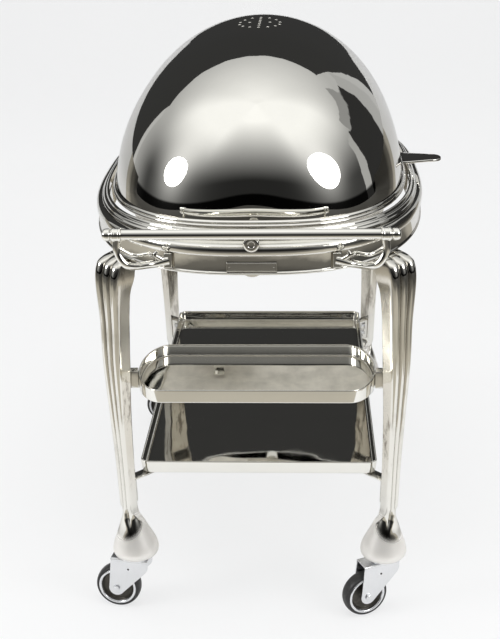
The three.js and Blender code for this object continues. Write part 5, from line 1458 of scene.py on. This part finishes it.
class TROLLEY_OT_castors(Operator):
    """Make the four swivel castors: stem, race, pressed fork, axle, wheel and tyre"""

    bl_idname = "trolley.castors"
    bl_label = "Castors"

    def execute(self, context):
        sizes = context.scene.trolley_castors
        joints = {j["name"]: j for j in frame["joints"]}
        for name in CORNERS:
            pivot = Vector(joints[f"castor_swivel_{name}"]["pos_m"])
            axle = Vector(joints[f"wheel_spin_{name}"]["pos_m"])
            angle = math.atan2(axle.y - pivot.y, axle.x - pivot.x)
            pivot.z = 0
            self.stem(name, pivot)
            self.fork(name, pivot, angle, sizes)
            self.axle(name, pivot, angle, sizes)
            self.wheel(name, pivot, angle, sizes)
        return {"FINISHED"}

    def stem(self, name, pivot):
        low, high = node_box(f"castor_stem_{name}")
        race, wide = low[2], (high[0] - low[0]) / 2
        top = 0.1127
        rows = [(0, race), (wide - 0.004, race), (wide, race + 0.0012), (wide, top - 0.0006),
                (wide - 0.0022, top), (0.007, top), (0.007, high[2]), (0, high[2])]
        radii = [0, 0.001, 0.001, 0.0006, 0.001, 0.0003, 0.001, 0]
        stem = mesh_object(f"swivel_stem_{name}", *lathed(rows, radii, 56, tuple(pivot)))
        dress(stem, f"castor_stem_{name}")

    def fork(self, name, pivot, angle, sizes):
        """Two cheeks with a shoulder that turns over into the bridge, and the race under the foot."""
        inner = sizes.tyre_width / 2 + sizes.gap
        outer = inner + sizes.plate
        turn = axle_turn(pivot, angle, sizes)
        top, trail = sizes.top - sizes.wheel, sizes.trail
        front, brow, back, boss = 0.024, 0.020, 0.044, sizes.boss
        rise = 0.004
        cheek = [(-trail - front, top - rise), (-trail - front, top - brow)]
        for a in np.linspace(math.pi * 1.244, math.pi * 2.1, 24):
            cheek.append((boss * math.cos(a), boss * math.sin(a)))
        cheek += [(back - trail, top - rise)]
        cheek = eased(cheek, [0.001, 0.008] + [0] * 24 + [0.001], 5)
        bore = circle(0.0044, 24)
        meshes = []
        for side in (-1, 1):
            low, high = (inner, outer) if side > 0 else (-outer, -inner)
            meshes.append(flat_plate("cheek", [cheek, bore], low, high, 0.0007, turn, 2))
        # the bridge turns over into both cheeks on a soft bend
        foot, under = top - rise - 0.0004, top - sizes.plate
        bend = [(-outer, foot), (-outer, top - 0.0008), (-outer + 0.0030, top), (outer - 0.0030, top),
                (outer, top - 0.0008), (outer, foot), (inner, foot), (inner, under), (-inner, under),
                (-inner, foot)]
        bend = eased(bend, [0, 0.0016, 0.0016, 0.0016, 0.0016, 0, 0, 0.001, 0.001, 0], 4)
        loops = []
        for x in (-trail - front, -trail - front + 0.001, back - trail - 0.001, back - trail):
            loops.append([tuple(turn @ Vector((x, y, z))) for z, y in bend])
        meshes.append(as_mesh(skin(loops)))
        crown = [(0, sizes.top - 0.001), (0.022, sizes.top - 0.001), (0.022, 0.1052), (0.0205, 0.1066),
                 (0.0185, 0.108), (0, 0.108)]
        meshes.append(as_mesh(lathed(crown, [0, 0.0005, 0.0008, 0.0008, 0.001, 0], 56, tuple(pivot))))
        fork = merged_object(f"swivel_fork_{name}", meshes, 45)
        dress(fork, f"castor_fork_{name}")
        # a rivet high on each cheek
        places = [turn @ Vector((-trail + 0.012, top - 0.020, side * (outer + 0.0001))) for side in (-1, 1)]
        facings = [turn.to_3x3() @ Vector((0, 0, side)) for side in (-1, 1)]
        head = lathed([(0, 0), (0.0019, 0), (0.0016, 0.0007), (0, 0.0010)], [0, 0.0002, 0.0006, 0], 16)
        fixings(f"fork_rivets_{name}", head, places, facings, "wheel_steel", f"castor_fork_{name}")

    def axle(self, name, pivot, angle, sizes):
        """A bolt with a six-sided head on one side and a nut with its thread end on the other."""
        inner = sizes.tyre_width / 2 + sizes.gap
        outer = inner + sizes.plate + 0.0003
        turn = axle_turn(pivot, angle, sizes)
        end = outer + 0.001
        shank = turned([(0, -end), (0.004, -end), (0.004, end), (0, end)], 32, closed=False)
        meshes = [as_mesh(moved(shank, turn))]
        for side in (-1, 1):
            hexagon = eased([(0.0066 * math.cos(a), 0.0066 * math.sin(a))
                             for a in np.linspace(0, 2 * math.pi, 6, endpoint=False)], 0.0003, 2)
            low, high = sorted((side * outer, side * (outer + 0.0026)))
            meshes.append(flat_plate("head", [hexagon], low, high, 0.0006, turn, 2))
            tip = lathed([(0, 0), (0.0038, 0), (0.0036, 0.0028), (0.0030, 0.0030), (0, 0.0030)],
                         [0, 0, 0.0004, 0.0003, 0], 24, steps=2)
            flip = Matrix.Translation((0, 0, side * outer)) @ Matrix.Scale(side, 4, (0, 0, 1))
            meshes.append(as_mesh(moved(tip, turn @ flip)))
        axle = merged_object(f"wheel_bolt_{name}", meshes, 40)
        dress(axle, f"castor_axle_{name}")

    def wheel(self, name, pivot, angle, sizes):
        """A dished dark disc on a bright hub, a bright rim over the tyre's side, and the tyre's tread."""
        turn = axle_turn(pivot, angle, sizes)
        seat, half, bore = sizes.wheel - sizes.tyre_depth - 0.0003, 0.009, 0.0044
        side_rows = [(bore, 0.0085), (0.0105, 0.0080), (0.0125, 0.0046), (seat * 0.62, 0.0036),
                     (seat - 0.0050, 0.0042), (seat - 0.0030, 0.0080), (seat - 0.0006, half),
                     (seat, half - 0.0006)]
        easing = [0.0002, 0.0008, 0.002, 0.004, 0.0024, 0.0014, 0.0004, 0.0002]
        rows = eased(side_rows + [(r, -h) for r, h in side_rows[::-1]], easing + easing[::-1], 4)
        disc = mesh_object(f"wheel_disc_{name}", *moved(turned(rows, 72), turn), sharp=45)
        dress(disc, f"castor_wheel_{name}")
        w, depth = sizes.tyre_width / 2, sizes.tyre_depth
        bright = []
        for side in (-1, 1):
            rim = [(seat - 0.0030, w * 0.55), (seat - 0.0020, w * 0.92), (seat - 0.0006, w + 0.0006),
                   (seat + depth * 0.22, w + 0.0004), (seat + depth * 0.34, w * 0.93),
                   (seat + depth * 0.25, w * 0.80), (seat - 0.0004, w * 0.55)]
            hub = [(bore, 0.0080), (0.0102, 0.0080), (0.0102, 0.0108), (0.0086, 0.0114), (0.0068, 0.0108),
                   (bore, 0.0108)]
            for rows, soft in ((rim, 0.0012), (hub, 0.0006)):
                rows = [(r, side * h) for r, h in eased(rows, soft, 4)]
                bright.append(as_mesh(moved(turned(rows, 72), turn)))
        dress(merged_object(f"wheel_rim_{name}", bright, 50), f"castor_wheel_{name}", "castor_chrome")
        inner, tread = sizes.wheel - depth, sizes.wheel
        shoulder = [(inner, w * 0.72), (inner + 0.0012, w * 0.84), (inner + depth * 0.45, w * 0.98),
                    (tread - 0.0022, w * 0.90), (tread - 0.0004, w * 0.5)]
        rows = shoulder + [(tread, 0.0)] + [(r, -h) for r, h in shoulder[::-1]]
        rows = eased(rows, [0.0004, 0.0008, 0.003, 0.002, 0.003, 0.004, 0.003, 0.002, 0.003, 0.0008, 0.0004], 4)
        tyre = mesh_object(f"tyre_{name}", *moved(turned(rows, 72), turn), sharp=60)
        dress(tyre, f"castor_tyre_{name}")


# ------------------------------------------------------------------ carving deck and burner


class TROLLEY_OT_deck(Operator):
    """Make the water pan, the deck plate, the carving board, the lidded sauce wells and the burner"""

    bl_idname = "trolley.deck"
    bl_label = "Carving deck"

    def execute(self, context):
        body = context.scene.trolley_body
        self.pan(body)
        self.deck(body)
        self.board()
        for name in SIDES:
            self.well(name)
            self.lid(name)
        self.burner()
        return {"FINISHED"}

    def pan(self, body):
        low, high = node_box("water_pan")
        half, long = (high[0] - low[0]) / 2, (high[1] - low[1]) / 2
        flange, wall, taper = 0.010, 0.002, 0.020
        top, floor = high[2], low[2]
        rows = [(0, top - wall), (0, top), (flange + 0.0015, top), (flange + taper + wall, floor + wall),
                (flange + taper, floor), (flange, top - wall)]
        spread = [(half - inset, long - inset, z) for inset, z in eased(rows, [0.0006, 0.0006, 0.002, 0.008,
                                                                               0.008, 0.002], 5)]
        loops = [level(oval(w, l, body.opening_squareness, 160) + CENTRE[:2], z) for w, l, z in spread]
        # the chain starts and ends at the floor, so that the two floors close it
        deep = [i for i, (w, l, z) in enumerate(spread) if w < half - flange - taper * 0.9]
        start, first = max(i for i in deep if spread[i][2] < floor + 0.004), min(deep)
        cut = next(i for i in range(first, start) if spread[i + 1][2] < spread[i][2] - 0.0006 or
                   spread[i + 1][0] > spread[i][0])
        chain = loops[cut + 1:] + loops[:cut + 1]
        middle = np.array((CENTRE[0], CENTRE[1], 0))
        under, inside = chain[0], chain[-1]
        caps_in = [(inside - middle) * (s, s, 1) + middle for s in (0.6, 0.05)]
        caps_out = [(under - middle) * (s, s, 1) + middle for s in (0.05, 0.6)]
        pan = mesh_object("bain_marie", *skin(caps_out + chain + caps_in), sharp=50)
        dress(pan, "water_pan")

    def deck(self, body):
        low, high = node_box("deck_plate")
        half, long = (high[0] - low[0]) / 2, (high[1] - low[1]) / 2
        outline = oval(half, long, body.opening_squareness, 200) + CENTRE[:2]
        holes = []
        for name in SIDES:
            centre = middle_of(f"sauce_well_{name}")
            holes.append(circle(0.0623, 64, centre[:2]))
        plate = flat_plate("deck", [outline, *holes], low[2], high[2], 0.0007, None, 2)
        dress(merged_object("deck_sheet", [plate]), "deck_plate")

    def board(self):
        low, high = node_box("carving_board")
        middle, half, long = (low + high) / 2, (high[0] - low[0]) / 2, (high[1] - low[1]) / 2

        def outline(inset):
            x, y = half - inset, long - inset
            corners = [(x, -y), (x, y), (-x, y), (-x, -y)]
            radius = 0.040 - inset
            result = []
            for i, (x, y) in enumerate(corners):
                centre = np.array((x - math.copysign(radius, x), y - math.copysign(radius, y))) + middle[:2]
                start = (i - 1) * math.pi / 2
                result += circle_arc(centre, radius, start, start + math.pi / 2, 12)
            return np.array(result)

        top, bottom = high[2], low[2]
        rows = [(0.004, bottom), (0, bottom + 0.003), (0, top - 0.003), (0.003, top), (0.0175, top),
                (0.0200, top - 0.0036), (0.0255, top - 0.0036), (0.0280, top), (0.0330, top)]
        rows = eased(rows, [0, 0.002, 0.002, 0.002, 0.0008, 0.0022, 0.0022, 0.0008, 0], 5, closed=False)
        loops = [level(outline(inset), z) for inset, z in rows]
        board = mesh_object("maple_board", *skin(loops), sharp=50)
        dress(board, "carving_board")

    def bowl(self, name, node, rows, radii, segments):
        """A lathed piece on the upright axis of its node."""
        centre = tuple(middle_of(node) * (1, 1, 0))
        dress(mesh_object(name, *lathed(rows, radii, segments, centre, steps=4), sharp=50), node)

    def well(self, name):
        low, high = node_box(f"sauce_well_{name}")
        rim, top, floor, wall = (high[0] - low[0]) / 2, high[2], low[2], 0.0016
        r = 0.062
        rows = [(0, floor), (r - 0.008, floor), (r - 0.002, floor + 0.008), (r, top - wall), (rim, top - wall),
                (rim, top), (r - wall, top), (r - 0.002 - wall, floor + 0.008 + wall),
                (r - 0.008 - wall, floor + wall), (0, floor + wall)]
        radii = [0, 0.004, 0.005, 0.0005, 0.0006, 0.0006, 0.002, 0.005, 0.004, 0]
        self.bowl(f"sauce_pot_{name}", f"sauce_well_{name}", rows, radii, 80)

    def lid(self, name):
        low, high = node_box(f"well_lid_{name}")
        rim, base, tip = (high[0] - low[0]) / 2, low[2], high[2]
        top = base + 0.020
        rows = [(0, top - 0.002), (rim * 0.45, top - 0.004), (rim * 0.8, base + 0.009),
                (rim - 0.006, base + 0.003), (rim - 0.006, base), (rim, base), (rim, base + 0.003),
                (rim * 0.90, base + 0.0068),
                (rim * 0.82, base + 0.012), (rim * 0.62, base + 0.0165), (rim * 0.45, top - 0.0015),
                (0.0075, top - 0.0004), (0.0044, top + 0.001), (0.0042, top + 0.0062), (0.0086, top + 0.0095),
                (0.0090, top + 0.0115), (0.0066, top + 0.0150), (0.002, tip), (0, tip)]
        radii = [0, 0.004, 0.004, 0.001, 0.0005, 0.0008, 0.0012, 0.002, 0.004, 0.006, 0.006, 0.0015,
                 0.0012, 0.002, 0.0014, 0.002, 0.002, 0.001, 0]
        self.bowl(f"pot_lid_{name}", f"well_lid_{name}", rows, radii, 80)

    def burner(self):
        dress(softened_copy("burner_ring", "burner_holder", 0.0007), "burner_holder")
        low, high = node_box("burner_cup")
        lip, top, floor, wall = (high[0] - low[0]) / 2, high[2], low[2], 0.0016
        r = lip - 0.008
        rows = [(0, floor), (r - 0.008, floor), (r, floor + 0.008), (r, top - wall), (lip, top - wall),
                (lip, top), (r - wall, top), (r - wall, floor + 0.0085), (r - 0.0088, floor + wall),
                (0, floor + wall)]
        radii = [0, 0.004, 0.004, 0.0006, 0.0006, 0.0006, 0.002, 0.004, 0.004, 0]
        self.bowl("fuel_cup", "burner_cup", rows, radii, 72)


# ------------------------------------------------------------------ studio


class TROLLEY_OT_studio(Operator):
    """Make the pale floor with its sweep, the room's light, the lamps and the camera"""

    bl_idname = "trolley.studio"
    bl_label = "Studio"

    def execute(self, context):
        settings = context.scene.trolley_studio
        self.floor(settings)
        self.room(settings)
        self.lamps(settings)
        self.camera(context)
        context.scene.view_settings.view_transform = "Standard"
        return {"FINISHED"}

    def floor(self, settings):
        """A wide floor that sweeps up a little behind the trolley."""
        section = eased([(-6.0, 0.0), (3.2, 0.0), (3.2, 0.90)], [0, 0.45, 0], 24, closed=False)
        across = np.linspace(-7, 7, 29)
        vertices = [(x, y, z) for y, z in section for x in across]
        wide = len(across)
        faces = [(i * wide + k, i * wide + k + 1, (i + 1) * wide + k + 1, (i + 1) * wide + k)
                 for i in range(len(section) - 1) for k in range(wide - 1)]
        sweep = mesh_object("studio_sweep", vertices, faces, sharp=0)
        r = Recipe("studio_floor")
        grain = r.noise(r.places, 9.0, 4, 0.6)
        tone = r.mixed(r.ranged(grain, 0.3, 0.7), shade(settings.floor), shade(settings.floor, 0.985))
        # beyond the pale paper the metal mirrors the studio's own floor, dull near by and dark far off
        place = r.add("ShaderNodeSeparateXYZ", {0: r.places}).outputs
        wavy = r.ranged(r.noise(r.places, 2.6, 3, 0.6), 0.3, 0.7, -0.12, 0.12)
        behind = r.math("MAXIMUM", r.minus(place["Y"], 1.3), 0.0)
        left = r.minus(r.minus(-1.65, place["X"]), r.times(behind, 0.93))
        right = r.minus(r.minus(place["X"], 1.15), r.times(behind, 0.48))
        right = r.times(right, 2.2)
        front = r.minus(-1.0, place["Y"])
        past = r.math("MAXIMUM", r.math("MAXIMUM", left, right), front)
        past = r.plus(past, r.times(wavy, r.ranged(past, 0.1, 0.6)))
        mirrored = r.add("ShaderNodeLightPath").outputs["Is Glossy Ray"]
        for start, stop, factor in ((-0.02, 0.03, 1.0), (0.55, 1.15, 0.32), (1.6, 2.6, 0.11)):
            share = r.times(r.ranged(past, start, stop), mirrored)
            tone = r.mixed(share, tone, shade(settings.beyond, factor))
        paper = r.set(base=tone, rough=0.6, specular=0.25)
        # the picture's own view of the paper is near white, and keeps a share of the shadow
        seen = r.add("ShaderNodeLightPath").outputs["Is Camera Ray"]
        glow = r.out("ShaderNodeEmission", {"Color": shade(settings.backdrop), "Strength": 1.0})
        blend = r.add("ShaderNodeMixShader", {0: r.times(seen, 0.72), 1: r.shader.outputs[0], 2: glow})
        leave = r.tree.nodes["Material Output"]
        r.tree.links.new(blend.outputs[0], leave.inputs[0])
        sweep.data.materials.append(paper)

    def room(self, settings):
        """A ceiling that fades towards the camera, with a dark wall behind and a dark screen at the right."""
        world = bpy.data.worlds.new("studio_room")
        bpy.context.scene.world = world
        world.use_nodes = True
        world.node_tree.nodes.clear()
        w = Wiring(world.node_tree)
        radians = math.radians

        def eased_range(value, low, high, to_low=0.0, to_high=1.0):
            return w.ranged(value, low, high, to_low, to_high, "SMOOTHSTEP")

        def within(value, low, high, soft):
            return w.times(eased_range(value, low - soft, low + soft),
                           eased_range(value, high - soft, high + soft, 1.0, 0.0))

        def painted(under, share, tone):
            keep = w.times(under, w.minus(1.0, share))
            return w.plus(keep, w.times(share, tone))

        places = w.add("ShaderNodeTexCoord").outputs["Generated"]
        direction = w.add("ShaderNodeSeparateXYZ", {0: places}).outputs
        across = w.math("ARCTAN2", direction["X"], direction["Y"])
        climb = w.math("ARCSINE", direction["Z"])
        ripple = w.minus(w.noise(places, 5.0, 4.0, 0.5), 0.5)
        # the ceiling: bright overhead, fading down the sides and most of all over the camera
        behind = eased_range(w.math("COSINE", across), 0.2, 0.8)
        before = eased_range(w.math("COSINE", across), -1.0, -0.75, 1.0, 0.0)
        over_back = w.ranged(climb, radians(30), radians(82), 0.46, 1.02)
        over_sides = eased_range(climb, radians(8), radians(58), 0.03, 1.08)
        over_front = w.times(w.math("POWER", w.ranged(climb, radians(9), radians(70)), 1.3), 1.12)
        bright = w.plus(w.times(over_back, behind), w.times(over_front, before))
        rest = w.minus(w.minus(1.0, behind), before)
        bright = w.plus(w.plus(bright, w.times(over_sides, rest)), 0.02)
        # a soft glow stands round both lamps
        for toward in ((-0.89, -0.33, 0.31), (0.784, -0.497, 0.367)):
            near = w.add("ShaderNodeVectorMath", {0: places, 1: toward}, operation="DOT_PRODUCT")
            halo = w.math("POWER", w.math("MAXIMUM", near.outputs["Value"], 0.0), 20.0)
            bright = w.plus(bright, w.times(halo, 0.55))
        # a dark screen in a pale frame at the right, and a grey-green panel over it
        aside = w.plus(across, w.times(ripple, 0.16))
        raised = w.plus(climb, w.times(ripple, 0.20))
        panel = w.times(within(aside, radians(36), radians(64), 0.006),
                        within(raised, radians(25), radians(35), 0.006))
        bright = painted(bright, panel, 0.30)
        frame_share = w.times(within(aside, radians(24), radians(76), 0.006),
                              eased_range(raised, radians(25), radians(26), 1.0, 0.0))
        bright = painted(bright, frame_share, 0.42)
        screen = w.times(within(aside, radians(32), radians(66), 0.006),
                         eased_range(raised, radians(26), radians(27), 1.0, 0.0))
        bright = painted(bright, screen, 0.03)
        # the wall behind is a tall dark panel that stands square to the trolley, edged with a pale strip
        depth = w.math("MAXIMUM", direction["Y"], 0.001)
        sideways = w.math("DIVIDE", direction["X"], depth)
        upwards = w.math("DIVIDE", direction["Z"], depth)
        rugged = w.times(ripple, 0.09)
        sideways = w.plus(sideways, rugged)
        ahead = w.math("GREATER_THAN", direction["Y"], 0.0)
        slant = w.minus(sideways, w.times(upwards, 0.24))
        top = eased_range(w.plus(upwards, rugged), 0.773, 0.777, 1.0, 0.0)
        strip = w.times(within(sideways, -1.22, -1.0, 0.004), eased_range(upwards, 0.66, 0.72, 1.0, 0.0))
        bright = painted(bright, w.times(strip, ahead), 0.50)
        wall = w.times(top, w.times(eased_range(sideways, -1.067, -1.063),
                                    eased_range(slant, 0.318, 0.322, 1.0, 0.0)))
        bright = painted(bright, w.times(wall, ahead), 0.036)
        # below the floor's horizon the room is dark
        bright = w.times(bright, eased_range(climb, -0.03, 0.0, 0.05, 1.0))
        seen = w.add("ShaderNodeLightPath").outputs["Is Camera Ray"]
        bright = w.plus(w.times(bright, w.minus(1.0, seen)), w.times(seen, 0.93))
        light = w.add("ShaderNodeBackground", {"Color": (1.0, 1.0, 0.985, 1),
                                               "Strength": w.times(bright, settings.world_strength)})
        leave = w.add("ShaderNodeOutputWorld")
        world.node_tree.links.new(light.outputs[0], leave.inputs[0])

    def lamps(self, settings):
        aim = Vector((CENTRE[0], CENTRE[1], 0.85))
        for name, place, size, power, mirrored in (
                ("lamp_left", (-1.93, -1.04, 1.43), (0.98, 0.74), settings.lamp_power, True),
                ("lamp_right", (1.69, -1.36, 1.53), (1.25, 0.98), settings.lamp_power, True),
                ("lamp_overhead", (0.2, -0.6, 3.0), (2.4, 2.4), settings.top_power, False)):
            light = bpy.data.lights.new(name, "AREA")
            light.shape, light.size, light.size_y, light.energy = "ELLIPSE", *size, power
            lamp = bpy.data.objects.new(name, light)
            lamp.location = place
            lamp.rotation_euler = (aim - Vector(place)).to_track_quat("-Z", "Y").to_euler()
            lamp.visible_camera = False
            lamp.visible_glossy = mirrored
            bpy.context.scene.collection.objects.link(lamp)

    def camera(self, context):
        yaw, pitch, roll = (math.radians(a) for a in (-2.7, 21.1, -1.0))
        ahead = Vector((math.sin(yaw) * math.cos(pitch), math.cos(yaw) * math.cos(pitch), -math.sin(pitch)))
        sideways = Vector((math.cos(yaw), -math.sin(yaw), 0))
        upright = sideways.cross(ahead)
        right = sideways * math.cos(roll) + upright * math.sin(roll)
        up = upright * math.cos(roll) - sideways * math.sin(roll)
        data = bpy.data.cameras.new("view")
        data.lens, data.sensor_width, data.clip_end = 67.6, 36.0, 50.0
        camera = bpy.data.objects.new("view", data)
        camera.matrix_world = Matrix((
            (right.x, up.x, -ahead.x, 0.0589), (right.y, up.y, -ahead.y, -2.2098),
            (right.z, up.z, -ahead.z, 1.2646), (0, 0, 0, 1)))
        context.scene.collection.objects.link(camera)
        context.scene.camera = camera


# ------------------------------------------------------------------ panel and start

GROUPS = {
    "trolley_cover": CoverSizes, "trolley_body": BodySizes, "trolley_bar": BarSizes, "trolley_legs": LegSizes,
    "trolley_shelves": ShelfSizes, "trolley_castors": CastorSizes, "trolley_finishes": Finishes,
    "trolley_studio": StudioSettings}
OPERATORS = (TROLLEY_OT_cover, TROLLEY_OT_body, TROLLEY_OT_push_bar, TROLLEY_OT_legs, TROLLEY_OT_shelves,
             TROLLEY_OT_castors, TROLLEY_OT_deck, TROLLEY_OT_studio)


class TROLLEY_PT_sidebar(Panel):
    """Lists what the trolley is made of, with the sizes and colours of each"""

    bl_idname = "TROLLEY_PT_sidebar"
    bl_label = "Carving trolley"
    bl_space_type = "VIEW_3D"
    bl_region_type = "UI"
    bl_category = "Trolley"

    def draw(self, context):
        for operator in OPERATORS:
            self.layout.operator(operator.bl_idname)
        for place, group in GROUPS.items():
            box = self.layout.box()
            box.label(text=place.replace("trolley_", "").capitalize())
            for name in group.__annotations__:
                box.prop(getattr(context.scene, place), name)


def register():
    for cls in (*GROUPS.values(), *OPERATORS, TROLLEY_PT_sidebar):
        bpy.utils.register_class(cls)
    for place, group in GROUPS.items():
        setattr(bpy.types.Scene, place, PointerProperty(type=group))


def unregister():
    for place in GROUPS:
        delattr(bpy.types.Scene, place)
    for cls in (TROLLEY_PT_sidebar, *OPERATORS[::-1], *list(GROUPS.values())[::-1]):
        bpy.utils.unregister_class(cls)


def main():
    register()
    make = bpy.ops.trolley
    for step in (make.cover, make.body, make.push_bar, make.legs, make.shelves, make.castors, make.deck,
                 make.studio):
        step()
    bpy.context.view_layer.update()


if __name__ == "__main__":
    main()
